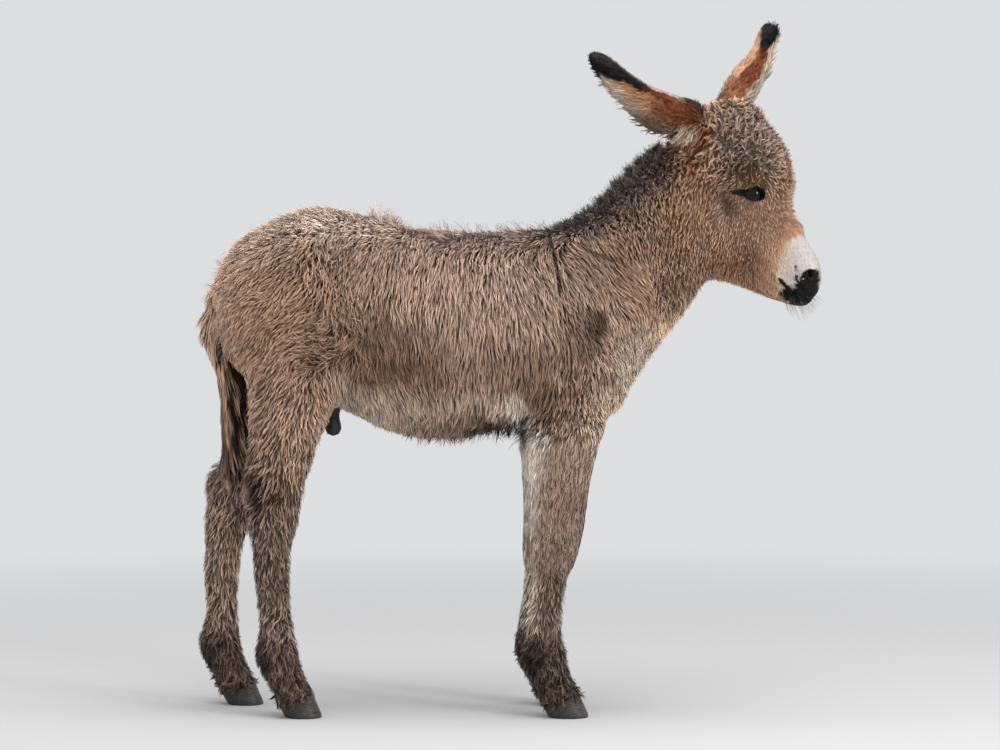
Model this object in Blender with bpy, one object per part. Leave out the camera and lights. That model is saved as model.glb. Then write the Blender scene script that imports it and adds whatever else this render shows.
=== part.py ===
"""A donkey foal about a month old, standing square in its woolly coat, at life size.

Metres, +Z up, nose towards +X, its right side towards -Y, hooves on the floor at Z 0.
The flesh is modelled whole from lofted forms, blended into one surface, and then parted with
thin cuts into the pieces that a person would name. Hooves, ears, eyes, mane, tail and sheath
are solids of their own, fitted to that surface with a hairline gap.
"""

import math

import bmesh
import bpy
import numpy as np
from mathutils import Matrix, Vector

# Driving sizes of the animal, over the tips of its coat.
WITHERS_HEIGHT = 0.756
CROUP_HEIGHT = 0.788
BACK_HEIGHT = 0.748
BRISKET_HEIGHT = 0.430
CHEST_HALF = 0.104
BELLY_HALF = 0.118
HIP_HALF = 0.110
HEAD_HALF = 0.066
MUZZLE_HALF = 0.036
EYE_RADIUS = 0.0175
EAR_LENGTH = 0.190
EAR_HALF = 0.033
STANCE_HALF = 0.068

# How the head is carried: turned towards the right, and tipped so that the left ear is higher.
HEAD_PIVOT = Vector((0.28, 0.0, 0.84))
HEAD_TURN = math.radians(-10)
HEAD_TIP = math.radians(4)

# How the solids are made.
VOXEL = 0.0045
BLEND_PASSES = 9
FLESH_TRIANGLES = 3080
GAP = 0.0004
ROOM = 0.0011
RING = 28
STEP = 0.010
DOME_RINGS = 5


def clear_scene():
    for item in list(bpy.data.objects):
        bpy.data.objects.remove(item, do_unlink=True)


def material(name, colour, roughness):
    made = bpy.data.materials.new(name)
    made.use_nodes = True
    shader = made.node_tree.nodes["Principled BSDF"]
    shader.inputs["Base Color"].default_value = (*colour, 1.0)
    shader.inputs["Roughness"].default_value = roughness
    shader.inputs["Metallic"].default_value = 0.0
    return made


def signed_power(value, power):
    return np.sign(value) * np.abs(value) ** power


def smooth_rows(rows, step):
    """Rows of numbers made denser along a smooth curve, spaced by about step over their first three."""
    rows = np.array(rows, float)
    gaps = np.linalg.norm(np.diff(rows[:, :3], axis=0), axis=1)
    place = np.concatenate([[0.0], np.cumsum(np.maximum(gaps, 1e-5))])
    slopes = np.gradient(rows, place, axis=0)
    finer = np.linspace(0.0, place[-1], max(3, int(place[-1] / step) + 1))
    span = np.clip(np.searchsorted(place, finer, side="right") - 1, 0, len(place) - 2)
    width = (place[span + 1] - place[span])[:, None]
    t = (finer[:, None] - place[span][:, None]) / width
    return (
        (2 * t**3 - 3 * t**2 + 1) * rows[span]
        + (t**3 - 2 * t**2 + t) * width * slopes[span]
        + (3 * t**2 - 2 * t**3) * rows[span + 1]
        + (t**3 - t**2) * width * slopes[span + 1]
    )


def station(upper, lower, half, y=0.0, widest=0.5, full=1.0):
    """One ring of a loft: two (x, z) points on the outline, the half width, and where it is widest.

    full is 1 for an ellipse and less for a squarer ring.
    """
    centre_x = lower[0] + (upper[0] - lower[0]) * widest
    centre_z = lower[1] + (upper[1] - lower[1]) * widest
    return [centre_x, y, centre_z, upper[0], upper[1], lower[0], lower[1], half, full]


def ring_points(row, count=RING):
    x, y, z, upper_x, upper_z, lower_x, lower_z, half, full = row
    turn = np.linspace(0.0, 2 * math.pi, count, endpoint=False)
    along = signed_power(np.cos(turn), full)
    across = signed_power(np.sin(turn), full)
    reach_x = np.where(along > 0, upper_x - x, x - lower_x)
    reach_z = np.where(along > 0, upper_z - z, z - lower_z)
    return np.stack([x + reach_x * along, y + half * across, z + reach_z * along], axis=1)


def domed(rings, first, last, steps=DOME_RINGS):
    """Rings with a rounded end added at each side, of the given lengths."""
    made = [np.array(ring) for ring in rings]
    for at_start, length in ((True, first), (False, last)):
        edge, inner = (made[0], made[1]) if at_start else (made[-1], made[-2])
        centre = edge.mean(axis=0)
        out = centre - inner.mean(axis=0)
        out = out / np.linalg.norm(out)
        extra = []
        for k in range(1, steps + 1):
            lean = math.radians(80) * k / steps
            extra.append(centre + out * length * math.sin(lean) + (edge - centre) * math.cos(lean))
        made = extra[::-1] + made if at_start else made + extra
    return made


def add_tube(mesh, rings):
    """A closed tube over rings of points, added to a bmesh with its faces pointing out."""
    loops = [[mesh.verts.new(p) for p in ring] for ring in rings]
    count = len(loops[0])
    faces = [mesh.faces.new(loops[0][::-1]), mesh.faces.new(loops[-1])]
    for low, high in zip(loops, loops[1:]):
        for i in range(count):
            j = (i + 1) % count
            faces.append(mesh.faces.new((low[i], low[j], high[j], high[i])))
    bmesh.ops.recalc_face_normals(mesh, faces=faces)


def add_loft(mesh, stations, first=0.01, last=0.01, matrix=None, step=STEP, count=RING):
    rings = [ring_points(row, count) for row in smooth_rows(stations, step)]
    rings = domed(rings, first, last, 2 if count < RING else DOME_RINGS)
    if matrix is not None:
        rings = [[matrix @ Vector(p) for p in ring] for ring in rings]
    add_tube(mesh, rings)


def add_muscle(mesh, centre, radii, lean=0.0, matrix=None):
    """A rounded form: an ellipsoid with radii (along, across, up), leant in the XZ plane by degrees."""
    place = Matrix.Translation(centre) @ Matrix.Rotation(math.radians(-lean), 4, "Y")
    place = (matrix or Matrix()) @ place @ Matrix.Diagonal((*radii, 1.0))
    bmesh.ops.create_uvsphere(mesh, u_segments=24, v_segments=14, radius=1.0, matrix=place)


def new_object(name, mesh, surface):
    data = bpy.data.meshes.new(name)
    mesh.to_mesh(data)
    mesh.free()
    made = bpy.data.objects.new(name, data)
    made.data.materials.append(surface)
    bpy.context.scene.collection.objects.link(made)
    return made


def apply_modifiers(item):
    """Replaces the object's mesh by what its modifiers make of it."""
    graph = bpy.context.evaluated_depsgraph_get()
    made = bpy.data.meshes.new_from_object(item.evaluated_get(graph))
    item.modifiers.clear()
    item.data = made


def head_matrix():
    """Where the straight-built head goes: turned and tipped about the joint with the neck."""
    there = Matrix.Translation(HEAD_PIVOT)
    turn = Matrix.Rotation(HEAD_TURN, 4, "Z") @ Matrix.Rotation(HEAD_TIP, 4, "X")
    return there @ turn @ there.inverted()


# Trunk: from the buttocks to the breast, with the shoulder and haunch muscles.
def add_trunk(mesh):
    back, brisket = BACK_HEIGHT, BRISKET_HEIGHT
    add_loft(
        mesh,
        [
            station((-0.464, 0.672), (-0.436, 0.590), 0.058),
            station((-0.434, 0.720), (-0.416, 0.545), 0.086, full=0.95),
            station((-0.375, 0.762), (-0.372, 0.500), 0.102, full=0.92),
            station((-0.310, CROUP_HEIGHT - 0.002), (-0.315, 0.480), HIP_HALF, full=0.9),
            station((-0.240, 0.777), (-0.250, 0.466), 0.109, widest=0.46, full=0.92),
            station((-0.165, 0.757), (-0.175, brisket + 0.007), 0.113, widest=0.44, full=0.94),
            station((-0.090, back), (-0.095, brisket - 0.004), BELLY_HALF, widest=0.42, full=0.95),
            station((-0.010, back), (-0.010, brisket), 0.114, widest=0.44),
            station((0.055, WITHERS_HEIGHT - 0.002), (0.055, brisket), CHEST_HALF, widest=0.46),
            station((0.105, 0.752), (0.120, brisket + 0.006), 0.092, widest=0.45, full=0.95),
            station((0.150, 0.715), (0.172, brisket + 0.038), 0.074, widest=0.45, full=0.95),
        ],
        first=0.022,
        last=0.022,
    )
    for side in (-1, 1):
        # Shoulder blade, upper arm and the point of the shoulder.
        add_muscle(mesh, (0.050, side * 0.062, 0.615), (0.056, 0.034, 0.090), lean=-18)
        add_muscle(mesh, (0.115, side * 0.060, 0.535), (0.058, 0.038, 0.062), lean=-30)
        # Haunch, thigh and buttock.
        add_muscle(mesh, (-0.335, side * 0.062, 0.640), (0.100, 0.050, 0.118), lean=-12)
        add_muscle(mesh, (-0.400, side * 0.050, 0.610), (0.050, 0.036, 0.090), lean=6)
    # Tuft of wool that stands up over the loin.
    add_muscle(mesh, (-0.193, 0.0, 0.768), (0.022, 0.018, 0.019), lean=-20)


def add_neck(mesh):
    """Crest and throat converge from the deep base at the shoulder to the joint with the head."""
    add_loft(
        mesh,
        [
            station((0.030, 0.745), (0.150, 0.460), 0.082, widest=0.42),
            station((0.074, 0.750), (0.196, 0.514), 0.077, widest=0.42),
            station((0.106, 0.762), (0.224, 0.556), 0.067, widest=0.45),
            station((0.142, 0.790), (0.254, 0.594), 0.058),
            station((0.180, 0.832), (0.282, 0.628), 0.053),
            station((0.215, 0.868), (0.302, 0.660), 0.052),
            station((0.262, 0.905), (0.325, 0.700), 0.050),
        ],
    )


def add_head(mesh):
    """Skull, cheeks, brows, nose, lips and chin, built straight and then carried by head_matrix."""
    there = head_matrix()
    add_loft(
        mesh,
        [
            station((0.268, 0.926), (0.282, 0.770), 0.040, widest=0.55),
            station((0.322, 0.951), (0.292, 0.706), 0.055, widest=0.62),
            station((0.377, 0.943), (0.305, 0.676), 0.064, widest=0.62, full=0.9),
            station((0.419, 0.908), (0.330, 0.668), HEAD_HALF, widest=0.64, full=0.88),
            station((0.440, 0.862), (0.352, 0.661), 0.064, widest=0.66, full=0.88),
            station((0.449, 0.815), (0.376, 0.653), 0.053, widest=0.64, full=0.88),
            station((0.452, 0.780), (0.397, 0.645), 0.043, widest=0.60, full=0.88),
            station((0.462, 0.750), (0.414, 0.639), 0.037, widest=0.56, full=0.9),
            station((0.475, 0.724), (0.430, 0.634), 0.036, widest=0.52, full=0.92),
            station((0.484, 0.703), (0.446, 0.629), MUZZLE_HALF, widest=0.50, full=0.92),
            station((0.486, 0.684), (0.456, 0.628), 0.031, widest=0.50),
        ],
        last=0.012,
        matrix=there,
    )
    for side in (-1, 1):
        # Cheek muscle over the jaw, then the brow above the eye and the crest below it.
        add_muscle(mesh, (0.345, side * 0.034, 0.728), (0.052, 0.022, 0.050), matrix=there)
        add_muscle(mesh, (0.385, side * 0.050, 0.828), (0.032, 0.019, 0.014), 18, there)
        add_muscle(mesh, (0.400, side * 0.044, 0.776), (0.040, 0.014, 0.014), -62, there)
        # Nostril wing and the corner of the upper lip.
        add_muscle(mesh, (0.470, side * 0.022, 0.684), (0.016, 0.012, 0.022), 10, there)
        add_muscle(mesh, (0.442, side * 0.020, 0.658), (0.022, 0.013, 0.014), -40, there)
    # Forelock wool between the ears, upper lip and chin.
    add_muscle(mesh, (0.372, 0.0, 0.926), (0.045, 0.038, 0.024), -28, there)
    add_muscle(mesh, (0.474, 0.0, 0.662), (0.014, 0.024, 0.020), matrix=there)
    add_muscle(mesh, (0.447, 0.0, 0.640), (0.018, 0.021, 0.012), -35, there)


# Legs. Each is a front and a back point down the leg; a left leg may stand further back.
def add_foreleg(mesh, y, shift):
    def at(front, back, half, **more):
        outward = y * more.pop("spread", 1.0)
        moved = [(x + shift, z) for x, z in (front, back)]
        return station(*moved, half, y=outward, **more)

    add_loft(
        mesh,
        [
            at((0.150, 0.500), (0.030, 0.520), 0.046, spread=0.80),
            at((0.144, 0.446), (0.026, 0.446), 0.044, spread=0.88),
            at((0.133, 0.400), (0.028, 0.400), 0.038, spread=0.94),
            at((0.120, 0.336), (0.031, 0.336), 0.033),
            at((0.115, 0.290), (0.031, 0.290), 0.032),
            at((0.106, 0.252), (0.030, 0.246), 0.031),
            at((0.091, 0.212), (0.031, 0.206), 0.026),
            at((0.084, 0.170), (0.027, 0.168), 0.023),
            at((0.083, 0.132), (0.017, 0.130), 0.025),
            at((0.088, 0.100), (0.012, 0.104), 0.028),
            at((0.095, 0.066), (0.020, 0.072), 0.026),
            at((0.110, 0.036), (0.040, 0.040), 0.025),
            at((0.118, 0.020), (0.056, 0.012), 0.025),
        ],
    )


def add_hindleg(mesh, y, shift):
    def at(front, back, half, share, **more):
        """share is how much of the shift this ring takes: none at the hip, all at the hoof."""
        outward = y * more.pop("spread", 1.0)
        moved = [(x + shift * share, z) for x, z in (front, back)]
        return station(*moved, half, y=outward, **more)

    add_loft(
        mesh,
        [
            at((-0.250, 0.590), (-0.425, 0.600), 0.050, 0.0, spread=0.84),
            at((-0.257, 0.525), (-0.407, 0.530), 0.047, 0.0, spread=0.90),
            at((-0.268, 0.476), (-0.403, 0.480), 0.043, 0.10, spread=0.94),
            at((-0.287, 0.430), (-0.402, 0.434), 0.038, 0.28),
            at((-0.302, 0.386), (-0.406, 0.392), 0.034, 0.50),
            at((-0.314, 0.345), (-0.412, 0.352), 0.032, 0.67),
            at((-0.321, 0.305), (-0.406, 0.308), 0.030, 0.76),
            at((-0.333, 0.262), (-0.398, 0.260), 0.027, 0.84),
            at((-0.336, 0.205), (-0.393, 0.205), 0.024, 0.90),
            at((-0.334, 0.150), (-0.385, 0.150), 0.024, 0.95),
            at((-0.329, 0.116), (-0.388, 0.118), 0.028, 0.99),
            at((-0.322, 0.082), (-0.391, 0.092), 0.029, 1.0),
            at((-0.307, 0.048), (-0.374, 0.056), 0.026, 1.0),
            at((-0.296, 0.022), (-0.352, 0.014), 0.025, 1.0),
        ],
    )
    # Point of the hock.
    add_muscle(mesh, (-0.400 + 0.67 * shift, y, 0.352), (0.015, 0.018, 0.028), lean=8)


LEGS = {
    "fore_right": dict(build=add_foreleg, y=-STANCE_HALF, shift=0.0),
    "fore_left": dict(build=add_foreleg, y=STANCE_HALF, shift=-0.010),
    "hind_right": dict(build=add_hindleg, y=-STANCE_HALF - 0.002, shift=0.0),
    "hind_left": dict(build=add_hindleg, y=STANCE_HALF + 0.006, shift=-0.101),
}


def whole_flesh(surface):
    """Every fleshy form in one blended surface of about FLESH_TRIANGLES."""
    forms = bmesh.new()
    add_trunk(forms)
    add_neck(forms)
    add_head(forms)
    for leg in LEGS.values():
        leg["build"](forms, leg["y"], leg["shift"])
    whole = new_object("flesh", forms, surface)
    remesh = whole.modifiers.new("join", "REMESH")
    remesh.mode = "VOXEL"
    remesh.voxel_size = VOXEL
    blend = whole.modifiers.new("blend", "SMOOTH")
    blend.factor = 0.5
    blend.iterations = BLEND_PASSES
    apply_modifiers(whole)
    thin = whole.modifiers.new("thin", "DECIMATE")
    thin.ratio = FLESH_TRIANGLES / (2 * len(whole.data.polygons))
    thin.use_collapse_triangulate = True
    apply_modifiers(whole)
    return whole


# Hooves: small flat-soled blocks under a sloping hair line.
def hoof_line(leg):
    """Front and back ends of the line where the hair meets the hoof, as (x, z)."""
    if leg.startswith("fore"):
        front, back = (0.108, 0.036), (0.050, 0.018)
    else:
        front, back = (-0.302, 0.036), (-0.355, 0.018)
    shift = LEGS[leg]["shift"]
    return (front[0] + shift, front[1]), (back[0] + shift, back[1])


def make_hoof(leg, surface):
    y = LEGS[leg]["y"]
    (front_x, front_z), (back_x, back_z) = hoof_line(leg)
    toe_x, heel_x = front_x + 0.015, back_x + 0.010
    rings = []
    for share in (0.0, 0.12, 0.5, 1.0):
        fore = Vector((toe_x, y, 0.0)).lerp((front_x, y, front_z - GAP), share)
        aft = Vector((heel_x, y, 0.0)).lerp((back_x, y, back_z - GAP), share)
        if share == 0.0:
            # The sole's edge is a little rounded.
            fore, aft = fore + Vector((-0.002, 0, 0)), aft + Vector((0.002, 0, 0))
        half = 0.0265 - 0.0035 * share - (0.002 if share == 0.0 else 0.0)
        ring = []
        for k in range(22):
            turn = 2 * math.pi * k / 22
            # Round at the toe and narrower at the heels.
            along = 0.5 + 0.5 * math.cos(turn)
            across = half * math.sin(turn) * (0.86 + 0.14 * along)
            point = aft.lerp(fore, along)
            ring.append(point + Vector((0, across, 0)))
        rings.append(ring)
    mesh = bmesh.new()
    add_tube(mesh, rings)
    return new_object("hoof_" + leg, mesh, surface)


# Ears: long leaves curled about their length into a trough.
def make_ear(name, root, tip, opening, surface, bow=0.0):
    root, tip = Vector(root), Vector(tip)
    along = (tip - root).normalized()
    depth = Vector(opening)
    depth = (depth - along * depth.dot(along)).normalized()
    across = along.cross(depth)
    rings = []
    for row in smooth_rows(
        [
            # place, 0, 0, radius of the curl, half its arc in degrees, thickness, reach of the margins
            [0.00, 0, 0, 0.026, 135, 0.013, 0.9],
            [0.12, 0, 0, 0.029, 128, 0.011, 1.2],
            [0.28, 0, 0, 0.029, 125, 0.009, 1.7],
            [0.45, 0, 0, 0.027, 124, 0.008, 1.9],
            [0.65, 0, 0, 0.024, 122, 0.008, 1.8],
            [0.82, 0, 0, 0.020, 118, 0.008, 1.6],
            [0.94, 0, 0, 0.014, 112, 0.008, 1.4],
            [1.00, 0, 0, 0.007, 100, 0.007, 1.0],
        ],
        0.11,
    ):
        place, _, _, radius, arc, thick, margin = row
        middle = root.lerp(tip, place) - depth * bow * math.sin(math.pi * place)
        ring = []
        for k in range(22):
            turn = 2 * math.pi * (k + 0.5) / 22
            lean = math.radians(arc) * float(signed_power(math.cos(turn), 0.8))
            reach = radius + 0.5 * thick * float(signed_power(math.sin(turn), 0.6))
            down = -reach * math.cos(lean)
            ring.append(middle + across * reach * math.sin(lean) + depth * down * (margin if down > 0 else 1.0))
        rings.append(ring)
    mesh = bmesh.new()
    add_tube(mesh, rings)
    return new_object(name, mesh, surface)


def make_eye(name, side, surface):
    mesh = bmesh.new()
    place = head_matrix() @ Matrix.Translation((0.381, side * 0.0490, 0.807))
    bmesh.ops.create_uvsphere(mesh, u_segments=16, v_segments=9, radius=EYE_RADIUS, matrix=place)
    return new_object(name, mesh, surface)


def make_mane(surface):
    mesh = bmesh.new()
    add_loft(
        mesh,
        [
            station((0.084, 0.757), (0.094, 0.745), 0.008),
            station((0.104, 0.773), (0.116, 0.757), 0.011),
            station((0.126, 0.787), (0.142, 0.770), 0.012),
            station((0.142, 0.802), (0.158, 0.785), 0.012),
            station((0.160, 0.825), (0.177, 0.808), 0.012),
            station((0.176, 0.844), (0.193, 0.826), 0.012),
            station((0.192, 0.861), (0.207, 0.843), 0.012),
            station((0.211, 0.879), (0.223, 0.862), 0.012),
            station((0.228, 0.889), (0.236, 0.874), 0.009),
        ],
        first=0.006,
        last=0.006,
        step=0.020,
        count=12,
    )
    return new_object("mane", mesh, surface)


def make_tail(surface):
    mesh = bmesh.new()
    add_loft(
        mesh,
        [
            station((-0.466, 0.655), (-0.436, 0.640), 0.016),
            station((-0.482, 0.620), (-0.450, 0.612), 0.020),
            station((-0.483, 0.588), (-0.447, 0.588), 0.021),
            station((-0.471, 0.555), (-0.430, 0.556), 0.022),
            station((-0.463, 0.520), (-0.419, 0.520), 0.022),
            station((-0.453, 0.480), (-0.413, 0.480), 0.022),
            station((-0.447, 0.440), (-0.411, 0.440), 0.020),
            station((-0.449, 0.408), (-0.416, 0.408), 0.014),
            station((-0.451, 0.394), (-0.430, 0.394), 0.008),
        ],
        first=0.008,
        last=0.005,
        step=0.026,
        count=12,
    )
    return new_object("tail", mesh, surface)


def make_sheath(surface):
    mesh = bmesh.new()
    add_loft(
        mesh,
        [
            station((-0.250, 0.505), (-0.290, 0.505), 0.016),
            station((-0.259, 0.484), (-0.288, 0.484), 0.014),
            station((-0.264, 0.462), (-0.286, 0.464), 0.012),
            station((-0.264, 0.444), (-0.287, 0.446), 0.012),
            station((-0.267, 0.434), (-0.284, 0.435), 0.008),
        ],
        first=0.004,
        last=0.004,
        step=0.020,
        count=12,
    )
    return new_object("sheath", mesh, surface)


# Cuts: thin plates that part the flesh, and blocks that make room for the hooves.
def add_plate(mesh, start, end, low_y, high_y, thick=GAP, matrix=None):
    """A plate between two (x, z) points, across from low_y to high_y."""
    run = Vector((end[0] - start[0], 0, end[1] - start[1]))
    turn = Matrix.Rotation(-math.atan2(run.z, run.x), 4, "Y")
    middle = Vector(((start[0] + end[0]) / 2, (low_y + high_y) / 2, (start[1] + end[1]) / 2))
    size = Matrix.Diagonal((run.length, high_y - low_y, thick, 1.0))
    place = (matrix or Matrix()) @ Matrix.Translation(middle) @ turn @ size
    bmesh.ops.create_cube(mesh, size=1.0, matrix=place)


def make_cutter(surface):
    """Every cut in one hidden solid, with a little room round each loose part."""
    cuts = bmesh.new()
    add_plate(cuts, (0.050, 0.850), (0.225, 0.400), -0.2, 0.2)
    add_plate(cuts, (0.212, 0.960), (0.322, 0.600), -0.2, 0.2)
    for start, end, parting in (
        ((0.012, 0.421), (0.190, 0.462), 0.060),
        ((-0.235, 0.440), (-0.480, 0.602), 0.110),
    ):
        add_plate(cuts, start, end, -0.2, 0.2)
        # An upright plate below this one parts the right leg from the left.
        low_start, low_end = (start[0], start[1] - parting / 2), (end[0], end[1] - parting / 2)
        add_plate(cuts, low_start, low_end, -GAP / 2, GAP / 2, thick=parting)
    for leg, made in LEGS.items():
        near, far = sorted((made["y"] * 0.1, made["y"] * 1.8))
        knee, fetlock = (0.222, 0.125) if leg.startswith("fore") else (0.312, 0.128)
        centre = 0.06 if leg.startswith("fore") else -0.36
        for height in (knee, fetlock):
            share = 0.75 if height > 0.3 else 1.0
            x = centre + made["shift"] * share
            add_plate(cuts, (x - 0.075, height), (x + 0.075, height), near, far)
        front, back = hoof_line(leg)
        rise = (front[1] - back[1]) / (front[0] - back[0])
        start = (back[0] - 0.03, back[1] - 0.03 * rise - 0.03)
        end = (front[0] + 0.03, front[1] + 0.03 * rise - 0.03)
        add_plate(cuts, start, end, near, far, thick=2 * 0.03 * math.cos(math.atan(rise)))
    cutter = new_object("cutter", cuts, surface)
    cutter.hide_render = True
    cutter.display_type = "WIRE"
    return cutter


def socketed(flesh, parts, surface):
    """Cuts every loose part's room, and all the plates, out of the flesh."""
    room = bmesh.new()
    for part in parts:
        scratch = bmesh.new()
        scratch.from_mesh(part.data)
        scratch.normal_update()
        for vertex in scratch.verts:
            vertex.co += vertex.normal * ROOM
        data = bpy.data.meshes.new("room")
        scratch.to_mesh(data)
        scratch.free()
        room.from_mesh(data)
    # Openings of the eyelids, as long as the eye and half as high.
    for side in (-1, 1):
        place = head_matrix() @ Matrix.Translation((0.3825, side * 0.064, 0.8065))
        slant = Matrix.Rotation(math.radians(4), 4, "Y")
        shape = Matrix.Diagonal((0.0185, 0.016, 0.0105, 1.0))
        bmesh.ops.create_uvsphere(room, u_segments=14, v_segments=8, radius=1.0, matrix=place @ slant @ shape)
    rooms = new_object("rooms", room, surface)
    rooms.hide_render = True
    rooms.display_type = "WIRE"
    for cutter in (rooms, make_cutter(surface)):
        cut = flesh.modifiers.new(cutter.name, "BOOLEAN")
        cut.operation = "DIFFERENCE"
        cut.solver = "EXACT"
        cut.use_self = True
        cut.object = cutter
    apply_modifiers(flesh)


def islands(mesh):
    """Groups of vertices that hang together."""
    left = set(mesh.verts)
    while left:
        group = {left.pop()}
        edge = list(group)
        while edge:
            vertex = edge.pop()
            for link in vertex.link_edges:
                other = link.other_vert(vertex)
                if other in left:
                    left.discard(other)
                    group.add(other)
                    edge.append(other)
        yield group


# Where the middle of each piece of flesh is, by name.
def flesh_places():
    places = {
        "head": (0.38, -0.01, 0.80),
        "neck": (0.20, 0.0, 0.70),
        "trunk": (-0.12, 0.0, 0.60),
    }
    for leg, made in LEGS.items():
        y = made["y"]
        fore = leg.startswith("fore")
        x = 0.06 if fore else -0.36
        places[leg + ("_forearm" if fore else "_thigh")] = (x, y, 0.33 if fore else 0.42)
        places[leg + "_cannon"] = (x + made["shift"] * 0.9, y, 0.17 if fore else 0.21)
        places[leg + "_pastern"] = (x + made["shift"], y, 0.08)
    return places


def part_flesh(flesh, surface):
    whole = bmesh.new()
    whole.from_mesh(flesh.data)
    groups = list(islands(whole))
    places = flesh_places()
    for group in sorted(groups, key=len, reverse=True):
        middle = sum((v.co for v in group), Vector()) / len(group)
        if not places or len(group) < 12:
            continue
        name = min(places, key=lambda n: (Vector(places[n]) - middle).length)
        del places[name]
        piece = whole.copy()
        piece.verts.ensure_lookup_table()
        kept = {v.index for v in group}
        bmesh.ops.delete(piece, geom=[v for v in piece.verts if v.index not in kept], context="VERTS")
        new_object(name, piece, surface)
    whole.free()
    bpy.data.objects.remove(flesh, do_unlink=True)


def build():
    clear_scene()
    coat = material("coat", (0.36, 0.27, 0.20), 0.9)
    dark_hair = material("dark_hair", (0.07, 0.05, 0.04), 0.9)
    horn = material("horn", (0.16, 0.15, 0.15), 0.5)
    eye = material("eye", (0.02, 0.012, 0.008), 0.1)
    flesh = whole_flesh(coat)
    loose = [
        make_eye("eye_right", -1, eye),
        make_eye("eye_left", 1, eye),
        make_ear("ear_right", (0.280, -0.032, 0.919), (0.126, -0.100, 1.003), (-0.35, 0.20, -0.90), coat, bow=-0.009),
        make_ear("ear_left", (0.343, 0.038, 0.916), (0.416, 0.112, 1.079), (0.75, 0.45, 0.0), coat),
        make_mane(dark_hair),
        make_tail(dark_hair),
        make_sheath(dark_hair),
    ]
    socketed(flesh, loose, coat)
    part_flesh(flesh, coat)
    for leg in LEGS:
        make_hoof(leg, horn)


build()
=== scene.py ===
import math

import bmesh
import bpy
import numpy as np
from mathutils import Matrix, Vector
from mathutils.bvhtree import BVHTree
from mathutils.kdtree import KDTree


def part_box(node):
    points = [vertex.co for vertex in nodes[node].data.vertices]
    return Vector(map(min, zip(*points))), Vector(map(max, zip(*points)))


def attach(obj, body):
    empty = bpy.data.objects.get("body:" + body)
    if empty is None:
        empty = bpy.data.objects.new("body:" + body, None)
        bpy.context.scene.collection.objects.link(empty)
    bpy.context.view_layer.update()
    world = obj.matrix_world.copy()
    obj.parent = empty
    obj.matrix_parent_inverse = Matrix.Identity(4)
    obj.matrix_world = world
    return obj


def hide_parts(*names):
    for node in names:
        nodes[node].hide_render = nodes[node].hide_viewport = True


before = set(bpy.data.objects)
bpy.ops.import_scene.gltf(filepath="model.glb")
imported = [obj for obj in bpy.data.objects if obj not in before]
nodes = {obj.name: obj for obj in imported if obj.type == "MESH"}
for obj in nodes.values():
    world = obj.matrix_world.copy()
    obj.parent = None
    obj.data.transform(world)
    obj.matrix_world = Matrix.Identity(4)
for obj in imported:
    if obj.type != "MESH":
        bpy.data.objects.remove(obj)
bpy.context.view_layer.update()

scene = bpy.context.scene


# ---- Skin: one hide over all the flesh ------------------------------------------------------
# The solids reach out to the tips of the coat. Here they are swollen a hair's breadth so that
# their parting cuts close, joined into one surface, and drawn in by the depth of the coat.

LEGS = ("fore_right", "fore_left", "hind_right", "hind_left")
FLESH = ["head", "neck", "trunk", "tail", "ear_right", "ear_left", "eye_right", "eye_left"]
for leg in LEGS:
    upper = "_forearm" if leg.startswith("fore") else "_thigh"
    FLESH += [leg + upper, leg + "_cannon", leg + "_pastern"]
SKIN_VOXEL = 0.0034
FLESH_SWELL = 0.0007
EYE_SWELL = 0.0016
EAR_SEAT_RADIUS, EAR_SEAT_LENGTH = 0.0205, 0.036
EAR_ROOT_DEPTH = 0.030
WELD_DISTANCE = 2e-5


def welded(node, swell=0.0):
    """A bmesh of a CAD node with its corners joined, moved out along its normals."""
    mesh = bmesh.new()
    mesh.from_mesh(nodes[node].data)
    bmesh.ops.remove_doubles(mesh, verts=mesh.verts, dist=WELD_DISTANCE)
    mesh.normal_update()
    for vertex in mesh.verts:
        vertex.co += vertex.normal * swell
    return mesh


def link(name, mesh):
    made = bpy.data.objects.new(name, mesh)
    scene.collection.objects.link(made)
    return made


def evaluated_mesh(source):
    graph = bpy.context.evaluated_depsgraph_get()
    return bpy.data.meshes.new_from_object(source.evaluated_get(graph))


def read_out(items, what, width, kind):
    flat = np.empty(len(items) * width, kind)
    items.foreach_get(what, flat)
    return flat.reshape(-1, width)


def points_of(mesh):
    return read_out(mesh.vertices, "co", 3, np.float32).astype(np.float64)


def edges_of(mesh):
    return read_out(mesh.edges, "vertices", 2, np.int32)


def triangles_of(mesh):
    mesh.calc_loop_triangles()
    return read_out(mesh.loop_triangles, "vertices", 3, np.int32)


def set_points(mesh, points):
    mesh.vertices.foreach_set("co", points.astype(np.float32).ravel())
    mesh.update()


def relaxed(values, edges, passes, share=0.5):
    """Values on vertices, evened out with their neighbours; share may differ by vertex."""
    count = np.maximum(np.bincount(edges.ravel(), minlength=len(values)), 1)
    flat = values.reshape(len(values), -1).astype(float)
    share = np.broadcast_to(np.reshape(share, (-1, 1)), (len(flat), 1))
    live = share[:, 0] > 0
    edges = edges[live[edges[:, 0]] | live[edges[:, 1]]]
    for _ in range(passes):
        total = np.empty_like(flat)
        for k in range(flat.shape[1]):
            there = np.bincount(edges[:, 0], flat[edges[:, 1], k], len(flat))
            back = np.bincount(edges[:, 1], flat[edges[:, 0], k], len(flat))
            total[:, k] = there + back
        flat = flat + share * (total / count[:, None] - flat)
    return flat.reshape(values.shape)


def unit(vectors):
    vectors = np.asarray(vectors, float)
    return vectors / np.maximum(np.linalg.norm(vectors, axis=-1, keepdims=True), 1e-12)


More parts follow.
